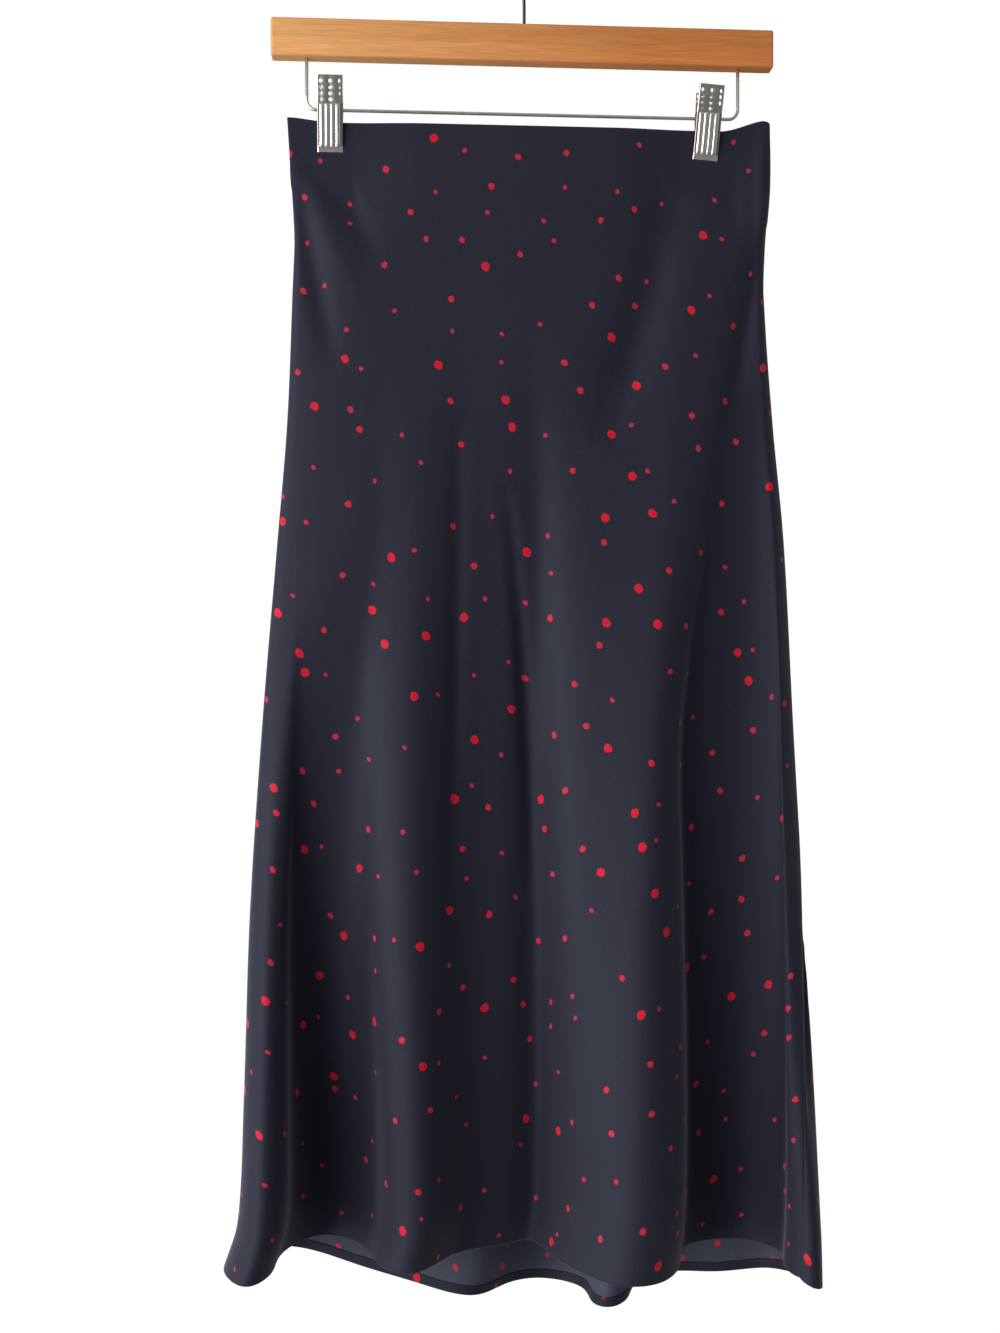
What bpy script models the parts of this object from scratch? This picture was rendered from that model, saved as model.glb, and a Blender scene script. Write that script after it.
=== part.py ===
"""A bias-cut slip skirt hanging by its waist from a wooden clip hanger.

Metres, +Z up, the front faces -Y. The origin is where the hook bears on what it hangs from.
"""

import math

import bmesh
import bpy
import numpy as np
from mathutils import Vector

# Hanger: heights are measured down from the bearing point of the hook
BAR_TOP = -0.0875
BAR_SIZE = (0.354, 0.012, 0.0265)
BAR_EDGE = 0.0014
HOOK_RADIUS = 0.020
HOOK_WIRE = 0.0011
HOOK_STEM_IN_BAR = 0.012
HOOK_NECK_RADII = 1.9
HOOK_BOW_DEGREES = (-42, 196)
HOOK_TIP = (-0.0012, 0.0, -0.0060)
FRAME_WIRE = 0.00118
FRAME_LEG_X = 0.1525
FRAME_LEG_IN_BAR = 0.010
FRAME_BEND = 0.007
ROD_Z = -0.1496

# Clips: each jaw is a stamped plate with a cheek on each side, and the rod goes through the cheeks
CLIP_X = {"left": -0.1361, "right": 0.1309}
CLIP_TILT = {"left": 0.0, "right": math.radians(4.2)}
CLIP_WIDTH = 0.018
CLIP_TOP = 0.0212
CLIP_BOTTOM = -0.0324
PLATE = 0.0009
PLATE_GRIP_Y = 0.0092
PLATE_NECK_Y = 0.0074
PLATE_ROD_Y = 0.0060
PLATE_KNEE_Y = 0.0016
LIP_LENGTH = 0.0065
RIB_COUNT = 4
RIB_SPAN = 0.0109
RIB_WIDTH = 0.0026
RIB_HEIGHT = 0.0009
DIMPLE_RADIUS = 0.0010
DIMPLE_X = {"front": 0.0068, "back": 0.0052}
DIMPLE_ROWS = 4
DIMPLE_TOP = 0.0172
DIMPLE_PITCH = 0.0041
SPRING_OUTER = 0.0034
SPRING_LENGTH = 0.0088

# A row for each corner of a cheek, going round it: distance from the rod's plane towards the jaw's own
# side (outwards), and height over the rod (height)
CHEEK = (
    (0.0072, 0.0089),
    (0.0026, 0.0034),
    (-0.0026, 0.0026),
    (-0.0026, -0.0026),
    (0.0026, -0.0064),
    (0.0040, -0.0168),
)

# Cloth
CLOTH = 0.0012
GAP = 0.0003
WAIST_Z = -0.1585
SKIRT_LENGTH = 0.7955
BACK_EXTRA = 0.0455
HEM_TURN = 0.0065
HEM_CLOTH = 0.0010
CORNER_LIFT = {"left": 0.0025, "right": 0.0060}
CORNER_SHARE = {"left": 0.10, "right": 0.11}
CLIP_BITE = 0.0255
PINCH_HALF = 0.0117
PINCH_EASE_SIDE = 0.055
PINCH_EASE_DOWN = 0.075
BACK_DIP_SKEW = 1.13
BACK_DIP_FULLNESS = 0.9
COLUMNS = 60
RIM_POWER = 4.0
GROWTH_KNEE = 0.12
NORMAL_REACH = 0.0008

# Drops below the waist of the rows of points: close where the clips pinch, then even
ROW_DROPS = (0.0, 0.012, 0.026, 0.045, 0.070, 0.105, 0.150, 0.205, 0.262, 0.320,
             0.380, 0.440, 0.500, 0.560, 0.620, 0.680, 0.740, SKIRT_LENGTH - HEM_TURN, SKIRT_LENGTH)

# A row for each level of the outline: drop below the waist, x of the left and right edge, and how far
# the front and the back stand from the plane of the hanger where no fold moves them
SECTION_COLUMNS = ("drop", "left", "right", "front", "back")
SECTIONS = (
    (0.000, -0.1662, 0.1757, 0.0035, 0.0035),
    (0.044, -0.1634, 0.1750, 0.0060, 0.0065),
    (0.087, -0.1613, 0.1715, 0.0090, 0.0100),
    (0.129, -0.1622, 0.1714, 0.0115, 0.0135),
    (0.213, -0.1655, 0.1773, 0.0150, 0.0200),
    (0.298, -0.1724, 0.1855, 0.0180, 0.0260),
    (0.425, -0.1828, 0.1923, 0.0200, 0.0330),
    (0.552, -0.1908, 0.1995, 0.0200, 0.0380),
    (0.680, -0.1946, 0.2045, 0.0200, 0.0420),
    (0.764, -0.1985, 0.2050, 0.0200, 0.0440),
    (SKIRT_LENGTH, -0.2080, 0.2040, 0.0200, 0.0450),
)

# A row for each line of a fold: its place across the panel at the waist and at the hem as a share of
# the width, its depth at the hem, the share of the length where it starts, and where it hangs plumb
FOLD_COLUMNS = ("name", "waist_across", "hem_across", "hem_depth", "start", "settled")
SEAMS = {
    "left": ("left_seam", 0.000, 0.000, 0.000, 0.50, 1.0),
    "right": ("right_seam", 1.000, 0.955, -0.045, 0.62, 1.0),
}
FRONT_FOLDS = (
    ("left_lobe", 0.020, 0.044, -0.040, 0.45, 1.0),
    ("left_fall", 0.036, 0.086, 0.008, 0.42, 1.0),
    ("left_valley", 0.064, 0.155, 0.043, 0.40, 1.0),
    ("left_rise", 0.180, 0.252, 0.022, 0.25, 1.0),
    ("left_step", 0.205, 0.270, -0.014, 0.22, 1.0),
    ("left_crest", 0.255, 0.313, -0.027, 0.15, 1.0),
    ("left_slope", 0.331, 0.376, 0.000, 0.15, 1.0),
    ("middle_shelf", 0.395, 0.420, 0.012, 0.15, 1.0),
    ("middle_edge", 0.455, 0.480, 0.015, 0.15, 1.0),
    ("middle_valley", 0.503, 0.519, 0.029, 0.15, 1.0),
    ("middle_rise", 0.550, 0.558, -0.008, 0.15, 1.0),
    ("right_crest", 0.640, 0.642, -0.055, 0.18, 1.0),
    ("right_shoulder", 0.790, 0.713, -0.048, 0.12, 0.7),
    ("right_fall", 0.940, 0.764, -0.022, 0.06, 0.6),
    ("right_drop", 0.965, 0.782, 0.005, 0.05, 0.6),
    ("right_valley", 0.980, 0.840, 0.018, 0.05, 0.6),
    ("right_floor", 0.985, 0.905, 0.016, 0.10, 0.7),
    ("right_tuck", 0.990, 0.950, -0.003, 0.50, 1.0),
    ("right_lobe_face", 0.995, 0.944, -0.026, 0.60, 1.0),
)
BACK_FOLDS = (
    ("right_lobe", 0.998, 0.975, -0.052, 0.60, 1.0),
    ("right_lobe_side", 0.994, 1.000, -0.026, 0.55, 1.0),
    ("right_lobe_back", 0.988, 0.985, 0.010, 0.50, 1.0),
    ("back_right_edge", 0.950, 0.946, 0.036, 0.35, 1.0),
    ("back_right_floor", 0.860, 0.866, 0.046, 0.25, 1.0),
    ("back_right_crest", 0.765, 0.777, 0.060, 0.20, 1.0),
    ("back_right_slope", 0.700, 0.716, 0.044, 0.20, 1.0),
    ("back_right_valley", 0.655, 0.663, 0.015, 0.25, 1.0),
    ("back_middle_slope", 0.600, 0.621, 0.048, 0.22, 1.0),
    ("back_middle_crest", 0.530, 0.549, 0.064, 0.15, 1.0),
    ("back_middle_fall", 0.465, 0.477, 0.053, 0.18, 1.0),
    ("back_left_valley", 0.400, 0.418, 0.028, 0.20, 1.0),
    ("back_left_shelf", 0.300, 0.325, 0.044, 0.22, 1.0),
    ("back_left_rise", 0.200, 0.218, 0.054, 0.28, 1.0),
    ("back_left_crest", 0.090, 0.105, 0.063, 0.30, 1.0),
    ("back_left_edge", 0.025, 0.030, 0.040, 0.45, 1.0),
)

WOOD = ("maple", (0.62, 0.30, 0.11, 1.0), 0.42, 0.0)
STEEL = ("plated_steel", (0.72, 0.72, 0.71, 1.0), 0.22, 1.0)
HOOK_STEEL = ("dark_steel", (0.12, 0.12, 0.13, 1.0), 0.35, 1.0)
CREPE = ("navy_crepe", (0.018, 0.022, 0.035, 1.0), 0.55, 0.0)


# Scene and materials


def clear_scene():
    for obj in list(bpy.data.objects):
        bpy.data.objects.remove(obj, do_unlink=True)


def collection(name):
    made = bpy.data.collections.new(name)
    bpy.context.scene.collection.children.link(made)
    return made


def material(spec):
    name, colour, roughness, metallic = spec
    made = bpy.data.materials.get(name) or bpy.data.materials.new(name)
    made.use_nodes = True
    shader = made.node_tree.nodes["Principled BSDF"]
    shader.inputs["Base Color"].default_value = colour
    shader.inputs["Roughness"].default_value = roughness
    shader.inputs["Metallic"].default_value = metallic
    return made


def add_mesh(name, mesh, spec, smooth=False):
    obj = bpy.data.objects.new(name, mesh)
    PARTS.objects.link(obj)
    mesh.materials.clear()
    mesh.materials.append(material(spec))
    if smooth:
        mesh.shade_smooth()
        mesh.set_sharp_from_angle(angle=math.radians(40))
    return obj


# Blocks, pins and booleans


def block_mesh(name, size, centre):
    mesh = bpy.data.meshes.new(name)
    bm = bmesh.new()
    bmesh.ops.create_cube(bm, size=1.0)
    bmesh.ops.scale(bm, vec=Vector(size), verts=bm.verts)
    bmesh.ops.translate(bm, vec=Vector(centre), verts=bm.verts)
    bm.to_mesh(mesh)
    bm.free()
    return mesh


def pin_mesh(name, radius, start, end, sides=12):
    """A solid round pin from start to end."""
    start, end = Vector(start), Vector(end)
    mesh = bpy.data.meshes.new(name)
    bm = bmesh.new()
    length = (end - start).length
    bmesh.ops.create_cone(bm, cap_ends=True, segments=sides, radius1=radius, radius2=radius, depth=length)
    turn = (end - start).to_track_quat("Z", "Y").to_matrix()
    bmesh.ops.rotate(bm, cent=(0, 0, 0), matrix=turn, verts=bm.verts)
    bmesh.ops.translate(bm, vec=(start + end) / 2, verts=bm.verts)
    bm.to_mesh(mesh)
    bm.free()
    return mesh


def cutter(mesh):
    obj = bpy.data.objects.new(mesh.name, mesh)
    CUTTERS.objects.link(obj)
    obj.hide_render = True
    obj.display_type = "WIRE"
    return obj


def combine(obj, other, operation):
    step = obj.modifiers.new(f"{operation} {other.name}", "BOOLEAN")
    step.object = other
    step.operation = operation
    return step


def bevel(obj, width, segments, degrees=30):
    step = obj.modifiers.new("rounded edges", "BEVEL")
    step.width = width
    step.segments = segments
    step.limit_method = "ANGLE"
    step.angle_limit = math.radians(degrees)
    return step


# Wires


def smooth_route(points, steps):
    """Points along a smooth curve through the given ones."""
    points = [Vector(p) for p in points]
    ends = [2 * points[0] - points[1]] + points + [2 * points[-1] - points[-2]]
    route = []
    for a, b, c, d in zip(ends, ends[1:], ends[2:], ends[3:]):
        for i in range(steps):
            t = i / steps
            route.append(
                0.5 * (2 * b + (c - a) * t + (2 * a - 5 * b + 4 * c - d) * t * t
                       + (3 * b - a - 3 * c + d) * t * t * t)
            )
    return route + [points[-1]]


def wire(name, route, radius, spec):
    curve = bpy.data.curves.new(name, "CURVE")
    curve.dimensions = "3D"
    curve.bevel_depth = radius
    curve.bevel_resolution = 2
    curve.use_fill_caps = True
    spline = curve.splines.new("POLY")
    spline.points.add(len(route) - 1)
    for point, place in zip(spline.points, route):
        point.co = (*place, 1.0)
    curve.materials.append(material(spec))
    obj = bpy.data.objects.new(name, curve)
    PARTS.objects.link(obj)
    return obj


def arc(centre, radius, first, last, count):
    """Points in the XZ plane on an arc, angles in degrees from +X."""
    angles = [math.radians(first + (last - first) * i / (count - 1)) for i in range(count)]
    return [Vector((centre[0] + radius * math.cos(a), 0.0, centre[1] + radius * math.sin(a))) for a in angles]


def hanger_hook():
    middle = (0.0, HOOK_WIRE - HOOK_RADIUS)
    neck_z = middle[1] - HOOK_NECK_RADII * HOOK_RADIUS
    stem = [Vector((0.0, 0.0, BAR_TOP - HOOK_STEM_IN_BAR)), Vector((0.0, 0.0, (BAR_TOP + neck_z) / 2)),
            Vector((0.0, 0.0, neck_z))]
    bow = arc(middle, HOOK_RADIUS, *HOOK_BOW_DEGREES, 9)
    tip = [bow[-1] + Vector(HOOK_TIP)]
    wire("hanger_hook", smooth_route(stem + bow + tip, 3), HOOK_WIRE, HOOK_STEEL)


def clip_wire():
    bar_bottom = BAR_TOP - BAR_SIZE[2]
    top = bar_bottom + FRAME_LEG_IN_BAR
    bend_z = ROD_Z + FRAME_BEND
    inner_x = FRAME_LEG_X - FRAME_BEND
    left = arc((-inner_x, bend_z), FRAME_BEND, 180, 270, 7)
    right = arc((inner_x, bend_z), FRAME_BEND, 270, 360, 7)
    rod = [Vector((inner_x * share, 0.0, ROD_Z)) for share in (-0.6, -0.2, 0.2, 0.6)]
    route = [Vector((-FRAME_LEG_X, 0.0, top))] + left + rod + right + [Vector((FRAME_LEG_X, 0.0, top))]
    wire("clip_wire", route, FRAME_WIRE, STEEL)


def hanger_bar():
    bar = add_mesh("hanger_bar", block_mesh("hanger_bar", BAR_SIZE, (0.0, 0.0, BAR_TOP - BAR_SIZE[2] / 2)), WOOD)
    bevel(bar, BAR_EDGE, 3)
    bottom = BAR_TOP - BAR_SIZE[2]
    past = 0.002
    holes = [("hook_hole", HOOK_WIRE, 0.0, BAR_TOP + past, BAR_TOP - HOOK_STEM_IN_BAR - GAP)]
    for side, x in (("left", -FRAME_LEG_X), ("right", FRAME_LEG_X)):
        holes.append((f"{side}_leg_hole", FRAME_WIRE, x, bottom - past, bottom + FRAME_LEG_IN_BAR + GAP))
    for name, radius, x, start, end in holes:
        combine(bar, cutter(pin_mesh(name, radius + GAP, (x, 0, start), (x, 0, end))), "DIFFERENCE")


# Clips: modelled with the rod at the origin, the front jaw towards -Y


def jaw_line(side):
    """Centre line of a jaw's plate in (y, z), from the grip to the lip, for the front (-1) or back (1) jaw."""
    lip = CLOTH + GAP / 2 + GAP + PLATE / 2
    return [
        (side * PLATE_GRIP_Y, CLIP_TOP),
        (side * PLATE_NECK_Y, CLIP_TOP * 0.45),
        (side * PLATE_ROD_Y, 0.0),
        (side * (lip + PLATE_KNEE_Y), CLIP_BOTTOM * 0.50),
        (side * lip, CLIP_BOTTOM + LIP_LENGTH),
        (side * lip, CLIP_BOTTOM),
    ]


def plate_outline(line):
    """The outline of a plate of constant thickness along a line of (y, z) points."""
    near, far = [], []
    for i, (y, z) in enumerate(line):
        before = line[max(i - 1, 0)]
        after = line[min(i + 1, len(line) - 1)]
        along = Vector((after[0] - before[0], after[1] - before[1])).normalized()
        across = Vector((-along.y, along.x)) * PLATE / 2
        near.append((y + across.x, z + across.y))
        far.append((y - across.x, z - across.y))
    return near + far[::-1]


def outline_solid(name, outline, width, x):
    """A flat outline in (y, z) given a width along X, centred on x, as a closed mesh."""
    curve = bpy.data.curves.new(name, "CURVE")
    curve.dimensions = "2D"
    curve.fill_mode = "BOTH"
    curve.extrude = width / 2
    spline = curve.splines.new("POLY")
    spline.points.add(len(outline) - 1)
    spline.use_cyclic_u = True
    for point, (y, z) in zip(spline.points, outline):
        point.co = (y, z, 0.0, 1.0)
    obj = bpy.data.objects.new(name, curve)
    CUTTERS.objects.link(obj)
    graph = bpy.context.evaluated_depsgraph_get()
    graph.update()
    mesh = bpy.data.meshes.new_from_object(obj.evaluated_get(graph))
    bpy.data.objects.remove(obj)
    mesh.name = name
    bm = bmesh.new()
    bm.from_mesh(mesh)
    bmesh.ops.remove_doubles(bm, verts=bm.verts, dist=1e-6)
    for vert in bm.verts:
        vert.co = Vector((vert.co.z + x, vert.co.x, vert.co.y))
    bmesh.ops.recalc_face_normals(bm, faces=bm.faces)
    bm.to_mesh(mesh)
    bm.free()
    return mesh


def plate_y(side, z):
    """Where the middle of a jaw's plate is at a height."""
    line = jaw_line(side)
    return float(np.interp(z, [point[1] for point in line[::-1]], [point[0] for point in line[::-1]]))


def jaw(clip, face):
    side = -1 if face == "front" else 1
    name = f"clip_{clip}_{face}"
    body = add_mesh(name, outline_solid(name, plate_outline(jaw_line(side)), CLIP_WIDTH, 0.0), STEEL)
    cheek_x = CLIP_WIDTH / 2 - PLATE / 2 if face == "front" else CLIP_WIDTH / 2 - 1.5 * PLATE - GAP
    outline = [(side * outwards, height) for outwards, height in CHEEK]
    for end in (-1, 1):
        combine(body, cutter(outline_solid(f"{name} cheek {end}", outline, PLATE, end * cheek_x)), "UNION")
    for number in range(RIB_COUNT):
        combine(body, cutter(rib_mesh(f"{name} rib {number}", number, side)), "UNION")
    tilt = CLIP_TILT[clip]
    reach = Vector((math.cos(tilt), 0.0, math.sin(tilt))) * CLIP_WIDTH
    rod_hole = pin_mesh(f"{name} rod hole", FRAME_WIRE + GAP, -reach, reach)
    combine(body, cutter(rod_hole), "DIFFERENCE")
    through = Vector((0.0, 4 * PLATE, 0.0))
    for row in range(DIMPLE_ROWS):
        height = DIMPLE_TOP - row * DIMPLE_PITCH
        for x in (-DIMPLE_X[face], 0.0, DIMPLE_X[face]):
            place = Vector((x, plate_y(side, height), height))
            hole = pin_mesh(f"{name} hole {row} {x}", DIMPLE_RADIUS, place - through, place + through, 6)
            combine(body, cutter(hole), "DIFFERENCE")
    seat(body, clip)


def rib_mesh(name, number, side):
    """A raised rib down the lower half of a jaw's plate, following its line."""
    line = jaw_line(side)
    x = RIB_SPAN * (number / (RIB_COUNT - 1) - 0.5)
    top = (plate_y(side, FRAME_WIRE), FRAME_WIRE)
    outward = [(y + side * RIB_HEIGHT, z) for y, z in (top, line[3], line[4])]
    inward = [(y, z) for y, z in (line[4], line[3], top)]
    return outline_solid(name, outward + inward, RIB_WIDTH, x)


def seat(obj, clip):
    """Puts a jaw on the rod, turned as its clip hangs, with its cutters."""
    holder = bpy.data.objects.get(f"{clip}_clip_place")
    if holder is None:
        holder = bpy.data.objects.new(f"{clip}_clip_place", None)
        PARTS.objects.link(holder)
        holder.location = (CLIP_X[clip], 0.0, ROD_Z)
        holder.rotation_euler = (0.0, CLIP_TILT[clip], 0.0)
    obj.parent = holder
    for step in obj.modifiers:
        if step.type == "BOOLEAN":
            step.object.parent = holder


def spring(clip):
    profile = bpy.data.meshes.new(f"clip_{clip}_spring")
    bm = bmesh.new()
    hole = FRAME_WIRE + GAP
    half = SPRING_LENGTH / 2
    corners = [(half, hole), (half, SPRING_OUTER), (-half, SPRING_OUTER), (-half, hole)]
    verts = [bm.verts.new((x, 0.0, r)) for x, r in corners]
    for a, b in zip(verts, verts[1:] + verts[:1]):
        bm.edges.new((a, b))
    bmesh.ops.spin(bm, geom=bm.verts[:] + bm.edges[:], cent=(0, 0, 0), axis=(1, 0, 0),
                   angle=math.tau, steps=12, use_merge=True)
    bmesh.ops.remove_doubles(bm, verts=bm.verts, dist=1e-6)
    bmesh.ops.recalc_face_normals(bm, faces=bm.faces)
    bm.to_mesh(profile)
    bm.free()
    add_mesh(f"clip_{clip}_spring", profile, STEEL).location = (CLIP_X[clip], 0.0, ROD_Z)


# Cloth: the skirt is one closed ring at each level, cut at the two side seams


def smooth_step(t):
    t = min(max(t, 0.0), 1.0)
    return t * t * (3 - 2 * t)


def section(drop):
    """The section's named sizes at a drop below the waist, on a smooth curve through the table's rows."""
    drops = [row[0] for row in SECTIONS]
    last = len(drops) - 1
    i = min(max(int(np.searchsorted(drops, drop, side="right")) - 1, 0), last - 1)
    step = drops[i + 1] - drops[i]
    t = (drop - drops[i]) / step
    sizes = {}
    for column, name in enumerate(SECTION_COLUMNS[1:], start=1):
        here, after = SECTIONS[i][column], SECTIONS[i + 1][column]
        slope_in = slope_at(i, column) * step
        slope_out = slope_at(i + 1, column) * step
        sizes[name] = (here * (1 + 2 * t) * (1 - t) ** 2 + slope_in * t * (1 - t) ** 2
                       + after * t * t * (3 - 2 * t) + slope_out * t * t * (t - 1))
    return sizes


def slope_at(i, column):
    low, high = max(i - 1, 0), min(i + 1, len(SECTIONS) - 1)
    return (SECTIONS[high][column] - SECTIONS[low][column]) / (SECTIONS[high][0] - SECTIONS[low][0])


def growth(share, start):
    """How much of a fold's hem shape is there at a share of the length: none above its start."""
    t = max(0.0, (share - start) / (1.0 - start))
    return (math.hypot(t, GROWTH_KNEE) - GROWTH_KNEE) / (math.hypot(1.0, GROWTH_KNEE) - GROWTH_KNEE)


def fold_point(fold, facing, share, sizes):
    """Where a fold's line is at one level, in plan. Facing is -1 on the front, 1 on the back, 0 at a seam."""
    line = dict(zip(FOLD_COLUMNS, fold))
    grown = growth(share, line["start"])
    shift = share if line["settled"] == 1.0 else smooth_step(share / line["settled"])
    if facing == 0:
        shift = grown
    across = line["waist_across"] + (line["hem_across"] - line["waist_across"]) * shift
    x = sizes["left"] + across * (sizes["right"] - sizes["left"])
    rim = (1.0 - min(abs(2 * across - 1), 1.0) ** RIM_POWER) ** (1.0 / RIM_POWER)
    depth = {-1: -sizes["front"], 0: 0.0, 1: sizes["back"]}[facing] * rim
    return np.array((x, depth + (line["hem_depth"] - depth) * grown))


def closed_spline(points, samples):
    """A closed curve through the points, smooth to its curvature, and each point's index along it."""
    count = len(points)
    spans = np.linalg.norm(np.roll(points, -1, axis=0) - points, axis=1) ** 0.5
    matrix = np.zeros((count, count))
    right = np.zeros((count, 2))
    for i in range(count):
        before, after = spans[i - 1], spans[i]
        matrix[i, i - 1] += before
        matrix[i, i] += 2 * (before + after)
        matrix[i, (i + 1) % count] += after
        right[i] = 6 * ((points[(i + 1) % count] - points[i]) / after - (points[i] - points[i - 1]) / before)
    bend = np.linalg.solve(matrix, right)
    curve, starts = [], []
    for i in range(count):
        j = (i + 1) % count
        starts.append(len(curve))
        for k in range(samples):
            b = k / samples
            a = 1.0 - b
            curve.append(a * points[i] + b * points[j]
                         + ((a ** 3 - a) * bend[i] + (b ** 3 - b) * bend[j]) * spans[i] ** 2 / 6)
    return np.array(curve), starts


def evenly(curve, count):
    """Points and outward normals at even steps along an open piece of the ring, clear of the seams."""
    lengths = np.concatenate([[0.0], np.cumsum(np.linalg.norm(np.diff(curve, axis=0), axis=1))])
    places = np.linspace(GAP / 2, lengths[-1] - GAP / 2, count + 1)
    points = np.stack([np.interp(places, lengths, curve[:, k]) for k in (0, 1)], axis=1)
    before = np.clip(places - NORMAL_REACH, 0.0, None)
    after = np.clip(places + NORMAL_REACH, None, lengths[-1])
    along = np.stack([np.interp(after, lengths, curve[:, k]) - np.interp(before, lengths, curve[:, k])
                      for k in (0, 1)], axis=1)
    along /= np.linalg.norm(along, axis=1)[:, None]
    return points, np.stack([along[:, 1], -along[:, 0]], axis=1)


def openness(x, drop):
    """0 where a clip pinches the cloth flat, 1 clear of the clips."""
    across = min(abs(x - place) for place in CLIP_X.values())
    beside = smooth_step((across - PINCH_HALF) / PINCH_EASE_SIDE)
    below = smooth_step((drop - CLIP_BITE) / PINCH_EASE_DOWN)
    return 1.0 - (1.0 - beside) * (1.0 - below)


def ring(drop, count):
    """Front and back points and normals in plan at one level, each from the left seam to the right."""
    share = drop / SKIRT_LENGTH
    sizes = section(drop)
    folds = [(SEAMS["left"], 0)] + [(fold, -1) for fold in FRONT_FOLDS]
    right_index = len(folds)
    folds += [(SEAMS["right"], 0)] + [(fold, 1) for fold in BACK_FOLDS]
    points = np.array([fold_point(fold, facing, share, sizes) for fold, facing in folds])
    curve, starts = closed_spline(points, 24)
    middle = starts[right_index]
    front = curve[: middle + 1]
    back = np.concatenate([curve[middle:], curve[:1]])
    panels = {}
    for name, piece, facing in (("front", front, -1), ("back", back, 1)):
        places, normals = evenly(piece, count)
        flat = facing * (CLOTH + GAP) / 2
        for place in places:
            free = openness(place[0], drop)
            place[1] = flat + (place[1] - flat) * free
            if share < 0.5:
                place[1] = facing * max(facing * place[1], (CLOTH + GAP) / 2)
        if facing == 1:
            places, normals = places[::-1], normals[::-1]
        panels[name] = (places, normals)
    return panels


def waist_height(across):
    left = smooth_step(1.0 - across / CORNER_SHARE["left"])
    right = smooth_step(1.0 - (1.0 - across) / CORNER_SHARE["right"])
    return WAIST_Z + CORNER_LIFT["left"] * left + CORNER_LIFT["right"] * right


def hem_height(panel, across):
    height = WAIST_Z - SKIRT_LENGTH
    if panel == "back":
        height -= BACK_EXTRA * math.sin(math.pi * across ** BACK_DIP_SKEW) ** BACK_DIP_FULLNESS
    return height


def panel_grid(panel, drops, count):
    """Rows of (place, normal) on the middle of a panel's cloth, from the waist down."""
    rows = []
    for drop in drops:
        places, normals = ring(drop, count)[panel]
        share = drop / SKIRT_LENGTH
        row = []
        for i, (place, normal) in enumerate(zip(places, normals)):
            across = i / count
            top, bottom = waist_height(across), hem_height(panel, across)
            row.append((Vector((*place, top + (bottom - top) * share)), Vector((*normal, 0.0))))
        rows.append(row)
    return rows


def wall(name, rows, outer, inner, spec):
    """A closed wall over a grid of (place, normal), from inner to outer along the normals."""
    bm = bmesh.new()
    layers = []
    for offset in (outer, inner):
        layers.append([[bm.verts.new(place + normal * offset) for place, normal in row] for row in rows])
    last_row, last_column = len(rows) - 1, len(rows[0]) - 1
    for layer in layers:
        for i in range(last_row):
            for j in range(last_column):
                bm.faces.new((layer[i][j], layer[i + 1][j], layer[i + 1][j + 1], layer[i][j + 1]))
    border = [(0, j) for j in range(last_column)] + [(i, last_column) for i in range(last_row)]
    border += [(last_row, j) for j in range(last_column, 0, -1)] + [(i, 0) for i in range(last_row, 0, -1)]
    out, back = layers
    for (i, j), (k, m) in zip(border, border[1:] + border[:1]):
        bm.faces.new((out[i][j], out[k][m], back[k][m], back[i][j]))
    bmesh.ops.recalc_face_normals(bm, faces=bm.faces)
    mesh = bpy.data.meshes.new(name)
    bm.to_mesh(mesh)
    bm.free()
    return add_mesh(name, mesh, spec, smooth=True)


def skirt_panel(panel):
    rows = panel_grid(panel, ROW_DROPS, COLUMNS)
    wall(f"{panel}_panel", rows, CLOTH / 2, -CLOTH / 2, CREPE)
    turned = rows[-2:]
    outer = -CLOTH / 2 - GAP
    wall(f"{panel}_hem", turned, outer, outer - HEM_CLOTH, CREPE)


clear_scene()
PARTS = collection("Slip skirt on a clip hanger")
CUTTERS = collection("Cutters")
hanger_bar()
hanger_hook()
clip_wire()
for clip_name in CLIP_X:
    jaw(clip_name, "front")
    jaw(clip_name, "back")
    spring(clip_name)
for panel_name in ("front", "back"):
    skirt_panel(panel_name)
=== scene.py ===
"""Looks for a bias-cut slip skirt on a clip hanger: metres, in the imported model's frame, front towards -Y."""

import math

import bmesh
import bpy
import numpy as np
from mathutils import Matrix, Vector


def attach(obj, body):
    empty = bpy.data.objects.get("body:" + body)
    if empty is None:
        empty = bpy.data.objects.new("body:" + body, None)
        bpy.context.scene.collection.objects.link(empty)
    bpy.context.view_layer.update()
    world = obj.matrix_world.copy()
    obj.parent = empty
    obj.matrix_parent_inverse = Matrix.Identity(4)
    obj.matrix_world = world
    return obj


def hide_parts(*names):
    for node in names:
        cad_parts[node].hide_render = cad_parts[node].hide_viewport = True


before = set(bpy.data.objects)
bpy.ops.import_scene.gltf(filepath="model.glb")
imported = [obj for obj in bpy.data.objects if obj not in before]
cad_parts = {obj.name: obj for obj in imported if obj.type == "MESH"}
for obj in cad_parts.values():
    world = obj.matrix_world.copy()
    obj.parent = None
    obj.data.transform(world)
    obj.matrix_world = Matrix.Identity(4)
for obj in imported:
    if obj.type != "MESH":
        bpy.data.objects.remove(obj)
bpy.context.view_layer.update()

# Hanger, as in the part's source
BAR_TOP = -0.0875
BAR_HEIGHT = 0.0265
BAR_HALF = 0.1770
LIGHTER_EDGE = (BAR_TOP - 0.0120, BAR_TOP - 0.0165)
END_GRAIN = (BAR_HALF - 0.0009, BAR_HALF - 0.0001)
HOOK_RADIUS = 0.020
HOOK_WIRE = 0.0011
HOOK_STEM_IN_BAR = 0.012
HOOK_NECK_RADII = 1.9
HOOK_BOW_DEGREES = (-42, 196)
HOOK_TIP = (-0.0012, 0.0, -0.0060)
FRAME_WIRE = 0.00118
FRAME_LEG_X = 0.1525
FRAME_LEG_IN_BAR = 0.010
FRAME_BEND = 0.007
ROD_Z = -0.1496

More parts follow.
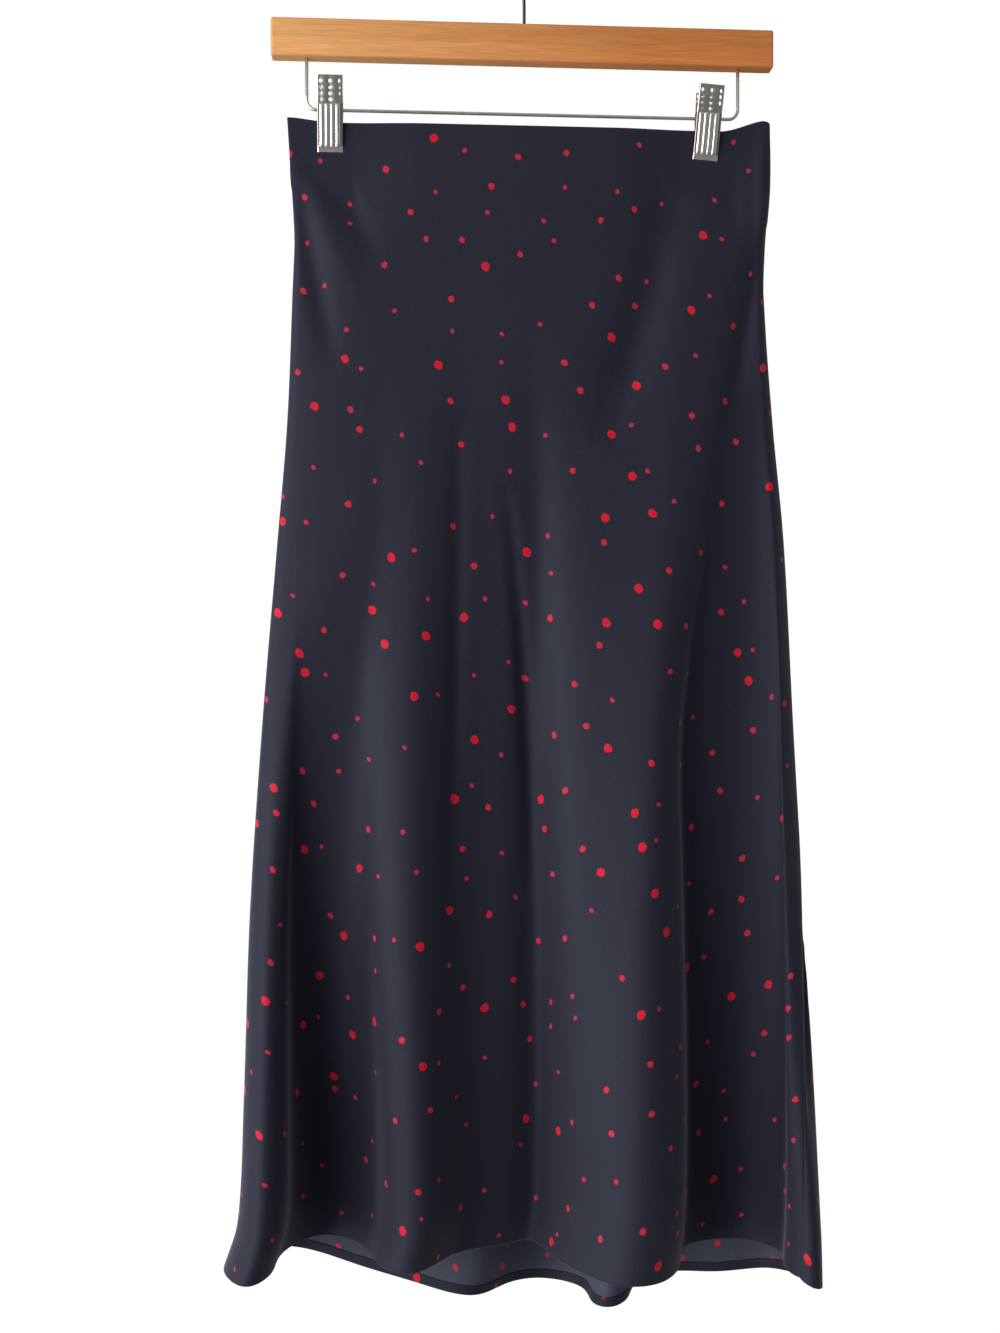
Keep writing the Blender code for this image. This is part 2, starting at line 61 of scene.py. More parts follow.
# Clips, with the rod at the origin of each
CLIP_X = {"left": -0.1361, "right": 0.1309}
CLIP_TILT = {"left": 0.0, "right": math.radians(4.2)}
JAW_WIDTH = {"front": 0.0180, "back": 0.0162}
JAW_SHEET = 0.0006
JAW_CORNER = 0.0009
JAW_ROWS = 110
JAW_FACE_COLUMNS = 73
# The plate's line down the jaw: (distance from the rod's plane, height)
JAW_LINE = (
    (0.0092, 0.0212),
    (0.0084, 0.0153),
    (0.0073, 0.0090),
    (0.0061, 0.0020),
    (0.0052, -0.0060),
    (0.0041, -0.0162),
    (0.0030, -0.0242),
    (0.0026, -0.0266),
    (0.0016, -0.0283),
    (0.0014, -0.0299),
)
# How far the cheeks reach back from the plate: (depth, height)
FLANGE_LEAST = 0.0002
FLANGE = (
    (0.0014, 0.0212),
    (0.0016, 0.0130),
    (0.0026, 0.0092),
    (0.0072, 0.0036),
    (0.0084, 0.0000),
    (0.0064, -0.0050),
    (0.0026, -0.0110),
    (0.0017, -0.0180),
    (0.0014, -0.0263),
    (0.0006, -0.0299),
)
RIB_X = (-0.00545, -0.00182, 0.00182, 0.00545)
RIB_HALF = 0.00160
RIB_HEIGHT = 0.0008
RIB_TOP = 0.0022
RIB_BOTTOM = -0.0264
RIB_RUN_OUT = {"top": 0.0009, "bottom": 0.0030}
GRIP_HOLE_X = 0.0066
GRIP_HOLE_ROWS = 4
GRIP_HOLE_TOP = {"front": 0.0172, "back": 0.0190}
GRIP_SLOT_HALF = {"front": 0.00085, "back": 0.0042}
GRIP_HOLE_PITCH = 0.0041
GRIP_HOLE = (0.00085, 0.00150)
GRIP_CUT_DEPTH = 0.004
GRIP_PAD_HEIGHT = 0.0005
GRIP_PAD_RUN_OUT = {"top": 0.0018, "bottom": 0.0012}
# Share of the painted shade that darkens the clips' plate over the grip
GRIP_PAINTED_SHADE = 0.45
LIP_FADE = 0.0008
RIB_SHINE = 1.6
SLOPE_STEP = 0.0004
# Tint of the painted shade that darkens the clips' plate between the ribs and over the grip
GROOVE_SHADE_TINT = (0.40, 0.35, 0.32)
SPRING_RADIUS = 0.0025
SPRING_WIRE = 0.00045
SPRING_LENGTH = 0.0080
SPRING_TURNS = 7
SPRING_STEPS = 18
SPRING_END = 0.0004
SPRING_ARMS = {"back": ((0.0058, 0.0105), (0.0046, 0.0050)), "front": ((-0.0040, 0.0052), (-0.0056, 0.0105))}

# Cloth
CLOTH = 0.0008
CAD_CLOTH = 0.0012
GAP = 0.0003
WAIST_Z = -0.1585
SKIRT_LENGTH = 0.7955
BACK_EXTRA = 0.0455
HEM_TURN = 0.0065
HEM_TURN_CLOTH = 0.0006
HEM_TURN_FOLD = 0.0005
HEM_TURN_BEDDED = 0.0001
EDGE_ROUND = 0.0006
SEAM_TUCK = 0.0005
SEAM_TUCK_REACH = 0.0012
STITCH_DENT = 0.00005
STITCH_DENT_REACH = 0.0007
CORNER_LIFT = {"left": 0.0030, "right": 0.0086}
CORNER_SHARE = {"left": 0.10, "right": 0.11}
ROUND_CORNER_SHARE = 0.025
ROUND_CORNER_DROP = 0.0042
CLIP_BITE = 0.0255
PINCH_HALF = 0.0117
PINCH_EASE_SIDE = 0.055
PINCH_EASE_DOWN = 0.075
BACK_DIP_SKEW = 1.13
BACK_DIP_FULLNESS = 0.9
RIM_POWER = 4.0
GROWTH_KNEE = 0.12
NORMAL_REACH = 0.0008

SECTION_COLUMNS = ("drop", "left", "right", "front", "back")
SECTIONS = (
    (0.000, -0.1662, 0.1757, 0.0035, 0.0035),
    (0.044, -0.1634, 0.1758, 0.0060, 0.0065),
    (0.087, -0.1613, 0.1722, 0.0090, 0.0100),
    (0.129, -0.1622, 0.1714, 0.0115, 0.0135),
    (0.213, -0.1655, 0.1773, 0.0150, 0.0200),
    (0.298, -0.1724, 0.1855, 0.0180, 0.0260),
    (0.425, -0.1828, 0.1923, 0.0200, 0.0330),
    (0.552, -0.1908, 0.1995, 0.0200, 0.0380),
    (0.680, -0.1946, 0.2045, 0.0200, 0.0420),
    (0.764, -0.1985, 0.2050, 0.0200, 0.0440),
    (SKIRT_LENGTH, -0.2080, 0.2040, 0.0200, 0.0450),
)
FOLD_COLUMNS = ("name", "waist_across", "hem_across", "hem_depth", "start", "settled")
SEAMS = {
    "left": ("left_seam", 0.000, 0.000, 0.000, 0.50, 1.0),
    "right": ("right_seam", 1.000, 0.950, -0.049, 0.62, 1.0),
}
FRONT_FOLDS = (
    ("left_lobe_side", 0.008, 0.006, -0.022, 0.48, 1.0),
    ("left_lobe", 0.020, 0.045, -0.041, 0.45, 1.0),
    ("left_lobe_wall", 0.029, 0.079, -0.022, 0.44, 1.0),
    ("left_fall", 0.038, 0.089, 0.010, 0.42, 1.0),
    ("left_valley", 0.064, 0.155, 0.043, 0.40, 1.0),
    ("left_rise", 0.130, 0.229, 0.022, 0.34, 1.0),
    ("left_step", 0.165, 0.260, -0.013, 0.22, 1.0),
    ("left_crest", 0.255, 0.313, -0.027, 0.15, 1.0),
    ("left_slope", 0.331, 0.376, 0.000, 0.15, 1.0),
    ("middle_shelf", 0.395, 0.420, 0.012, 0.15, 1.0),
    ("middle_edge", 0.455, 0.474, 0.018, 0.15, 1.0),
    ("middle_valley", 0.503, 0.516, 0.026, 0.15, 1.0),
    ("middle_rise", 0.550, 0.558, -0.007, 0.15, 1.0),
    ("right_slope", 0.650, 0.600, -0.035, 0.18, 1.0),
    ("right_crest", 0.750, 0.655, -0.055, 0.18, 1.0),
    ("right_shoulder", 0.830, 0.720, -0.051, 0.12, 0.7),
    ("right_fall", 0.940, 0.764, -0.022, 0.06, 0.6),
    ("right_drop", 0.965, 0.782, 0.005, 0.05, 0.6),
    ("right_valley", 0.980, 0.840, 0.018, 0.05, 0.6),
    ("right_floor", 0.985, 0.905, 0.016, 0.10, 0.7),
    ("right_tuck", 0.990, 0.946, -0.008, 0.38, 1.0),
    ("right_lobe_face", 0.995, 0.9375, -0.029, 0.60, 1.0),
)
BACK_FOLDS = (
    ("right_lobe", 0.998, 0.974, -0.057, 0.60, 1.0),
    ("right_lobe_side", 0.994, 1.000, -0.026, 0.55, 1.0),
    ("right_lobe_back", 0.988, 0.985, 0.010, 0.50, 1.0),
    ("back_right_edge", 0.950, 0.946, 0.036, 0.35, 1.0),
    ("back_right_floor", 0.860, 0.866, 0.046, 0.25, 1.0),
    ("back_right_crest", 0.765, 0.777, 0.060, 0.20, 1.0),
    ("back_right_slope", 0.700, 0.712, 0.046, 0.20, 1.0),
    ("back_right_turn", 0.678, 0.690, 0.026, 0.24, 1.0),
    ("back_right_valley", 0.655, 0.658, 0.015, 0.25, 1.0),
    ("back_middle_turn", 0.628, 0.633, 0.022, 0.24, 1.0),
    ("back_middle_slope", 0.600, 0.620, 0.048, 0.22, 1.0),
    ("back_middle_crest", 0.530, 0.549, 0.064, 0.15, 1.0),
    ("back_middle_fall", 0.465, 0.477, 0.049, 0.18, 1.0),
    ("back_left_valley", 0.400, 0.418, 0.024, 0.20, 1.0),
    ("back_left_shelf", 0.300, 0.325, 0.034, 0.22, 1.0),
    ("back_left_rise", 0.200, 0.218, 0.050, 0.28, 1.0),
    ("back_left_crest", 0.090, 0.105, 0.063, 0.30, 1.0),
    ("back_left_edge", 0.025, 0.030, 0.040, 0.45, 1.0),
)

# A row for each crease: a soft trough (depth below 0) or ridge along a line of (x, drop) points
CREASE_COLUMNS = ("name", "line", "width", "depth")
FRONT_CREASES = (
    ("left clip, long trough", ((-0.154, 0.008), (-0.126, 0.050), (-0.101, 0.100)), 0.0085, -0.0031),
    ("left clip, ridge", ((-0.160, 0.030), (-0.138, 0.075), (-0.108, 0.140)), 0.0090, 0.0014),
    ("left side trough", ((-0.159, 0.045), (-0.149, 0.100), (-0.132, 0.175)), 0.0085, -0.0032),
    ("left stripe", ((-0.047, 0.205), (-0.047, 0.380), (-0.053, 0.580)), 0.0060, -0.0034),
    ("middle crease", ((-0.014, 0.250), (0.004, 0.390), (0.005, 0.540)), 0.0052, -0.0040),
    ("right diagonal", ((0.104, 0.035), (0.092, 0.125), (0.052, 0.225)), 0.0150, -0.0056),
    ("right edge turn", ((0.1697, 0.002), (0.1698, 0.050), (0.1655, 0.115)), 0.0040, 0.0018),
    ("right valley head", ((0.173, 0.070), (0.159, 0.125), (0.147, 0.205)), 0.0065, -0.0034),
    ("right clip, outwards", ((0.140, 0.022), (0.149, 0.050), (0.152, 0.085)), 0.0060, -0.0010),
)
BACK_CREASES = (
    ("left clip, inwards", ((-0.125, 0.030), (-0.108, 0.090), (-0.098, 0.170)), 0.012, -0.0019),
    ("left clip, outwards", ((-0.146, 0.018), (-0.152, 0.060), (-0.148, 0.125)), 0.0080, -0.0016),
    ("right clip, inwards", ((0.120, 0.032), (0.104, 0.090), (0.090, 0.180)), 0.013, -0.0021),
    ("right clip, outwards", ((0.146, 0.024), (0.156, 0.070), (0.150, 0.140)), 0.0080, -0.0018),
    ("middle diagonal", ((-0.020, 0.070), (-0.004, 0.180), (0.028, 0.280)), 0.012, -0.0024),
    ("left stripe", ((-0.090, 0.240), (-0.098, 0.400), (-0.100, 0.560)), 0.0070, -0.0022),
    ("right stripe", ((0.072, 0.280), (0.078, 0.430), (0.080, 0.600)), 0.0065, -0.0020),
)
CREASE_STEPS = 41
CREASE_FADE = 0.7

# Grid of each panel
ROWS = 150
WAIST_ROWS = (0.0, 0.0003, 0.0008, 0.0016, 0.0030)
HEM_ROWS = (0.0090, 0.0078, 0.0070, 0.0065, 0.0060, 0.0052, 0.0040, 0.0024, 0.0010, 0.0003, 0.0)
EVEN_ROWS = (0.0052, SKIRT_LENGTH - 0.0120)
PANEL_COLUMNS = 190
SIDE_COLUMNS = (0.0, 0.0008, 0.0018, 0.0030, 0.0046, 0.0066)
NOMINAL_WIDTH = 0.5
SPLINE_SAMPLES = 24

# Stitches along the top of each turned hem, on the inside, on the sixth row of the grid from the hem
STITCH_PITCH = 0.0026
STITCH_LENGTH = 0.0020
STITCH_RADIUS = 0.00017
STITCH_SIDES = 6
STITCH_ROW = -6
STITCH_COLUMNS = ("along", "size", "raised")
STITCH_FORM = (
    (0.00, 0.45, -1.0),
    (0.15, 0.90, -0.1),
    (0.50, 1.00, 0.3),
    (0.85, 0.90, -0.1),
    (1.00, 0.45, -1.0),
)

# Print: three sizes of dot, scattered
DOT_PITCH = 0.0322
DOT_RADII = {"small": 0.0020, "middle": 0.0026, "large": 0.0034}
DOT_SHARES = {"small": 0.44, "middle": 0.80}
DOT_LEAN = math.radians(24)
DOT_STRETCH = (1.07, 0.94, 1.0)
DOT_SCATTER = 0.78
DOT_WOBBLE = 0.0016
DOT_EDGE = 0.0005
DOT_RIM = {"in": 0.0002, "soft": 0.0005}
DOT_CENTRE = {"in": 0.0009, "soft": 0.0004}
PRINT_SHIFT = {"front": (0.0, 0.0), "back": (0.613, 0.117), "hem": (0.0, 0.3)}

# Light: the world brightens towards each named side of the room; the lamps are area lights
ROOM_COLUMNS = ("side", "direction", "from", "to", "strength")
ROOM = (
    ("window", (-0.85, -0.53, 0.0), 0.55, 0.95, 0.50),
    ("right wall", (1.0, 0.0, 0.0), 0.60, 0.98, 0.22),
    ("ceiling", (0.0, 0.0, 1.0), 0.45, 0.95, 0.30),
)
ROOM_DIM = 0.20
LIT_PLACE = (0.0, 0.0, -0.55)
LIGHT_COLUMNS = ("name", "place", "size", "power", "lights", "shines")
LIGHTS = (
    ("window", (-1.87, -1.12, -0.50), (2.4, 2.3), 69.0, True, True),
    ("back", (-0.9, 2.30, -0.20), (2.0, 1.8), 46.0, True, False),
)

# The studio's bowl, from its floor out and up: (radius, height)
BOWL_STEPS = 96
BOWL = (
    (0.50, -1.12),
    (1.00, -1.12),
    (1.90, -1.12),
    (2.25, -1.09),
    (2.55, -0.98),
    (2.78, -0.78),
    (2.92, -0.50),
    (3.00, -0.10),
    (3.00, 1.00),
    (3.00, 2.60),
)

# Camera, worked out from the bar, the wire frame and the hem in the photo
CAMERA_PLACE = (-0.0772, -0.9972, -0.539)
CAMERA_TURN = -math.radians(3.45)
CAMERA_SENSOR = 36.0
FOCAL_PIXELS = 1417.0
PHOTO_PIXELS = 1333.0


def smooth_step(t):
    t = np.clip(t, 0.0, 1.0)
    return t * t * (3 - 2 * t)


# Cloth: the same sections and fold lines as the part's source, sampled more finely


def slope_at(i, column):
    """Slope of a column of the sections' table at a row."""
    low, high = max(i - 1, 0), min(i + 1, len(SECTIONS) - 1)
    return (SECTIONS[high][column] - SECTIONS[low][column]) / (SECTIONS[high][0] - SECTIONS[low][0])


def section(drop):
    """The section's named sizes at a drop below the waist, on a smooth curve through the table's rows."""
    drops = [row[0] for row in SECTIONS]
    last = len(drops) - 1
    i = min(max(int(np.searchsorted(drops, drop, side="right")) - 1, 0), last - 1)
    step = drops[i + 1] - drops[i]
    t = (drop - drops[i]) / step
    sizes = {}
    for column, name in enumerate(SECTION_COLUMNS[1:], start=1):
        here, after = SECTIONS[i][column], SECTIONS[i + 1][column]
        slope_in = slope_at(i, column) * step
        slope_out = slope_at(i + 1, column) * step
        sizes[name] = (here * (1 + 2 * t) * (1 - t) ** 2 + slope_in * t * (1 - t) ** 2
                       + after * t * t * (3 - 2 * t) + slope_out * t * t * (t - 1))
    return sizes


def growth(share, start):
    """How much of a fold's hem shape is there at a share of the length: none above its start."""
    t = max(0.0, (share - start) / (1.0 - start))
    return (math.hypot(t, GROWTH_KNEE) - GROWTH_KNEE) / (math.hypot(1.0, GROWTH_KNEE) - GROWTH_KNEE)


def fold_point(fold, facing, share, sizes):
    """Where a fold's line is at one level, in plan. Facing is -1 on the front, 1 on the back, 0 at a seam."""
    line = dict(zip(FOLD_COLUMNS, fold))
    grown = growth(share, line["start"])
    shift = share if line["settled"] == 1.0 else float(smooth_step(share / line["settled"]))
    if facing == 0:
        shift = grown
    across = line["waist_across"] + (line["hem_across"] - line["waist_across"]) * shift
    x = sizes["left"] + across * (sizes["right"] - sizes["left"])
    rim = (1.0 - min(abs(2 * across - 1), 1.0) ** RIM_POWER) ** (1.0 / RIM_POWER)
    depth = {-1: -sizes["front"], 0: 0.0, 1: sizes["back"]}[facing] * rim
    return np.array((x, depth + (line["hem_depth"] - depth) * grown))


def closed_spline(points, samples):
    """A closed curve through the points, smooth to its curvature, and each point's index along it."""
    count = len(points)
    spans = np.linalg.norm(np.roll(points, -1, axis=0) - points, axis=1) ** 0.5
    matrix = np.zeros((count, count))
    right = np.zeros((count, 2))
    for i in range(count):
        before, after = spans[i - 1], spans[i]
        matrix[i, i - 1] += before
        matrix[i, i] += 2 * (before + after)
        matrix[i, (i + 1) % count] += after
        right[i] = 6 * ((points[(i + 1) % count] - points[i]) / after - (points[i] - points[i - 1]) / before)
    bend = np.linalg.solve(matrix, right)
    b = (np.arange(samples) / samples)[:, None]
    a = 1.0 - b
    pieces = []
    for i in range(count):
        j = (i + 1) % count
        pieces.append(a * points[i] + b * points[j]
                      + ((a ** 3 - a) * bend[i] + (b ** 3 - b) * bend[j]) * spans[i] ** 2 / 6)
    return np.concatenate(pieces), [i * samples for i in range(count)]


def column_shares():
    """Places across a panel as shares of its width: close together beside the seams, even between."""
    side = [step / NOMINAL_WIDTH for step in SIDE_COLUMNS]
    middle = np.linspace(side[-1], 1.0 - side[-1], PANEL_COLUMNS)
    return np.concatenate([side[:-1], middle, [1.0 - s for s in side[:-1][::-1]]])


def openness(x, drop):
    """0 where a clip pinches the cloth flat, 1 clear of the clips."""
    across = np.minimum(abs(x - CLIP_X["left"]), abs(x - CLIP_X["right"]))
    beside = smooth_step((across - PINCH_HALF) / PINCH_EASE_SIDE)
    below = smooth_step((drop - CLIP_BITE) / PINCH_EASE_DOWN)
    return 1.0 - (1.0 - beside) * (1.0 - below)


def ring(drop, shares):
    """Points, normals and widths of both panels at one level, each from the left seam to the right."""
    share = drop / SKIRT_LENGTH
    sizes = section(drop)
    folds = [(SEAMS["left"], 0)] + [(fold, -1) for fold in FRONT_FOLDS]
    right_index = len(folds)
    folds += [(SEAMS["right"], 0)] + [(fold, 1) for fold in BACK_FOLDS]
    points = np.array([fold_point(fold, facing, share, sizes) for fold, facing in folds])
    curve, starts = closed_spline(points, SPLINE_SAMPLES)
    middle = starts[right_index]
    pieces = {
        "front": (curve[: middle + 1], -1),
        "back": (np.concatenate([curve[middle:], curve[:1]])[::-1], 1),
    }
    panels = {}
    for name, (piece, facing) in pieces.items():
        lengths = np.concatenate([[0.0], np.cumsum(np.linalg.norm(np.diff(piece, axis=0), axis=1))])
        places = shares * lengths[-1]
        at = [np.interp(places, lengths, piece[:, k]) for k in (0, 1)]
        before = [np.interp(np.clip(places - NORMAL_REACH, 0, None), lengths, piece[:, k]) for k in (0, 1)]
        after = [np.interp(np.clip(places + NORMAL_REACH, None, lengths[-1]), lengths, piece[:, k])
                 for k in (0, 1)]
        along = np.stack([after[k] - before[k] for k in (0, 1)], axis=1)
        along /= np.linalg.norm(along, axis=1)[:, None]
        flat = facing * (CAD_CLOTH + GAP) / 2
        y = flat + (at[1] - flat) * openness(at[0], drop)
        if share < 0.5:
            y = facing * np.maximum(facing * y, abs(flat))
        normals = np.stack([-facing * along[:, 1], facing * along[:, 0]], axis=1)
        panels[name] = (np.stack([at[0], y], axis=1), normals, places - lengths[-1] / 2)
    return panels


def waist_height(across):
    """Height of the waist edge: lifted at both corners, the right one rounded."""
    left = smooth_step(1.0 - across / CORNER_SHARE["left"])
    right = smooth_step(1.0 - (1.0 - across) / CORNER_SHARE["right"])
    rounded = np.clip((across - 1.0 + ROUND_CORNER_SHARE) / ROUND_CORNER_SHARE, 0.0, 1.0)
    corner = ROUND_CORNER_DROP * (1.0 - np.sqrt(1.0 - rounded ** 2))
    return WAIST_Z + CORNER_LIFT["left"] * left + CORNER_LIFT["right"] * right - corner


def hem_height(panel, across):
    """Height of the hem: level on the front, dipping on the back."""
    height = np.full_like(across, WAIST_Z - SKIRT_LENGTH)
    if panel == "back":
        height -= BACK_EXTRA * np.sin(math.pi * across ** BACK_DIP_SKEW) ** BACK_DIP_FULLNESS
    return height


def row_drops():
    """Levels of the rows: even, with close ones at the waist edge and at the hem's stitch line."""
    return list(WAIST_ROWS) + list(np.linspace(*EVEN_ROWS, ROWS)) + [SKIRT_LENGTH - up for up in HEM_ROWS]


def crease_depths(x, drop, creases):
    """The sum of the creases' depths at each place."""
    total = np.zeros_like(x)
    for crease in creases:
        row = dict(zip(CREASE_COLUMNS, crease))
        a, b, c = (np.array(p) for p in row["line"])
        near = np.full_like(x, np.inf)
        along = np.zeros_like(x)
        for t in np.linspace(0.0, 1.0, CREASE_STEPS):
            px, pd = (1 - t) ** 2 * a + 2 * t * (1 - t) * b + t * t * c
            away = np.hypot(x - px, drop - pd)
            along = np.where(away < near, t, along)
            near = np.minimum(near, away)
        fade = np.sin(np.pi * np.clip(along, 0.0, 1.0)) ** CREASE_FADE
        total += row["depth"] * np.exp(-((near / row["width"]) ** 2)) * fade
    return total


def panel_surface(panel, rings, drops, shares, creases):
    """Grids of points midway through a panel's cloth, its outward normals and its flat places in metres."""
    points, normals, flat = [], [], []
    top, bottom = waist_height(shares), hem_height(panel, shares)
    for drop, level in zip(drops, rings):
        plan, outward, across = level[panel]
        z = top + (bottom - top) * drop / SKIRT_LENGTH
        points.append(np.column_stack([plan, z]))
        normals.append(np.column_stack([outward, np.zeros(len(shares))]))
        flat.append(np.column_stack([across, np.full(len(shares), -drop)]))
    points, normals, flat = np.array(points), np.array(normals), np.array(flat)
    drop_grid = np.repeat(np.array(drops)[:, None], len(shares), axis=1)
    points += normals * crease_depths(points[:, :, 0], drop_grid, creases)[:, :, None]
    facing = {"front": -1, "back": 1}[panel]
    apart = facing * np.maximum(facing * points[:, :, 1], (CAD_CLOTH + GAP) / 2)
    points[:, :, 1] = np.where(drop_grid < SKIRT_LENGTH / 2, apart, points[:, :, 1])
    return points, normals, flat


def add_object(name, mesh):
    obj = bpy.data.objects.new(name, mesh)
    bpy.context.scene.collection.objects.link(obj)
    return obj


def face_outwards(mesh):
    bm = bmesh.new()
    bm.from_mesh(mesh)
    bmesh.ops.recalc_face_normals(bm, faces=bm.faces)
    bm.to_mesh(mesh)
    bm.free()


def shell(name, points, normals, flat, outer, inner, materials):
    """A closed thin shell over a grid, its outer face in the first material and its inner in the second."""
    rows, columns = points.shape[:2]
    layers = [points + normals * np.asarray(offset)[..., None] for offset in (outer, inner)]
    verts = np.concatenate([layer.reshape(-1, 3) for layer in layers])
    index = np.arange(rows * columns).reshape(rows, columns)
    a, b, c, d = index[:-1, :-1], index[1:, :-1], index[1:, 1:], index[:-1, 1:]
    quads = np.stack([a, b, c, d], axis=-1).reshape(-1, 4)
    other = quads[:, ::-1] + rows * columns
    border = np.concatenate([index[0, :-1], index[:-1, -1], index[-1, :0:-1], index[:0:-1, 0]])
    after = np.roll(border, -1)
    rim = np.stack([border, after, after + rows * columns, border + rows * columns], axis=-1)
    mesh = bpy.data.meshes.new(name)
    mesh.from_pydata(verts.tolist(), [], np.concatenate([quads, other, rim]).tolist())
    for material in materials:
        mesh.materials.append(material)
    slots = np.zeros(len(mesh.polygons), dtype=np.int32)
    slots[len(quads): 2 * len(quads)] = len(materials) - 1
    mesh.polygons.foreach_set("material_index", slots)
    places = np.concatenate([flat.reshape(-1, 2)] * 2)
    loops = np.zeros(len(mesh.loops), dtype=np.int32)
    mesh.loops.foreach_get("vertex_index", loops)
    layer = mesh.uv_layers.new(name="cloth")
    layer.data.foreach_set("uv", places[loops].ravel().astype(np.float32))
    mesh.shade_smooth()
    face_outwards(mesh)
    return add_object(name, mesh)


def stitches(name, line, outward, material):
    """A row of short stitches along a line of points, each bedded in the cloth at both ends."""
    lengths = np.concatenate([[0.0], np.cumsum(np.linalg.norm(np.diff(line, axis=0), axis=1))])
    count = int((lengths[-1] - 2 * STITCH_PITCH) / STITCH_PITCH)
    verts, faces = [], []
    for number in range(count):
        start = STITCH_PITCH * (number + 1)
        first = len(verts)
        for row in STITCH_FORM:
            form = dict(zip(STITCH_COLUMNS, row))
            at = start + form["along"] * STITCH_LENGTH
            place = np.array([np.interp(at, lengths, line[:, k]) for k in range(3)])
            facing = np.array([np.interp(at, lengths, outward[:, k]) for k in range(3)])
            facing /= np.linalg.norm(facing)
            up = np.array((0.0, 0.0, 1.0))
            middle = place + facing * STITCH_RADIUS * form["raised"]
            radius = STITCH_RADIUS * form["size"]
            for k in range(STITCH_SIDES):
                turn = math.tau * k / STITCH_SIDES
                verts.append(middle + (up * math.cos(turn) + facing * math.sin(turn)) * radius)
        for level in range(len(STITCH_FORM) - 1):
            for k in range(STITCH_SIDES):
                a = first + level * STITCH_SIDES + k
                b = first + level * STITCH_SIDES + (k + 1) % STITCH_SIDES
                faces.append((a, b, b + STITCH_SIDES, a + STITCH_SIDES))
        faces.append(tuple(range(first + STITCH_SIDES - 1, first - 1, -1)))
        last = first + (len(STITCH_FORM) - 1) * STITCH_SIDES
        faces.append(tuple(range(last, last + STITCH_SIDES)))
    mesh = bpy.data.meshes.new(name)
    mesh.from_pydata([tuple(v) for v in verts], [], faces)
    mesh.materials.append(material)
    mesh.shade_smooth()
    face_outwards(mesh)
    return add_object(name, mesh)


# Materials


class Shader:
    """A material's nodes, made one at a time."""

    def __init__(self, name, **sockets):
        self.material = bpy.data.materials.new(name)
        self.material.use_nodes = True
        self.tree = self.material.node_tree
        self.surface = self.tree.nodes["Principled BSDF"]
        for socket, value in sockets.items():
            self.surface.inputs[socket.replace("_", " ")].default_value = value

    def add(self, kind, inputs=(), **settings):
        made = self.tree.nodes.new("ShaderNode" + kind)
        for name, value in settings.items():
            setattr(made, name, value)
        for key, value in dict(inputs).items():
            if isinstance(value, bpy.types.NodeSocket):
                self.tree.links.new(value, made.inputs[key])
            else:
                made.inputs[key].default_value = value
        return made

    def math(self, operation, a, b=0.0, clamp=False):
        return self.add("Math", {0: a, 1: b}, operation=operation, use_clamp=clamp).outputs[0]

    def map_range(self, value, between, to, **settings):
        ends = {"From Min": between[0], "From Max": between[1], "To Min": to[0], "To Max": to[1]}
        return self.add("MapRange", {"Value": value, **ends}, **settings).outputs[0]

    def mix(self, share, a, b):
        made = self.tree.nodes.new("ShaderNodeMix")
        made.data_type = "RGBA"
        for socket, value in ((made.inputs[0], share), (made.inputs[6], a), (made.inputs[7], b)):
            if isinstance(value, bpy.types.NodeSocket):
                self.tree.links.new(value, socket)
            else:
                socket.default_value = value
        return made.outputs[2]

    def bump(self, height, strength, distance, normal=None):
        made = self.add("Bump", {"Height": height, "Strength": strength, "Distance": distance})
        if normal is not None:
            self.tree.links.new(normal, made.inputs["Normal"])
        return made.outputs[0]

    def out(self, colour=None, roughness=None, normal=None):
        for name, value in (("Base Color", colour), ("Roughness", roughness), ("Normal", normal)):
            if value is not None:
                self.tree.links.new(value, self.surface.inputs[name])
        return self.material


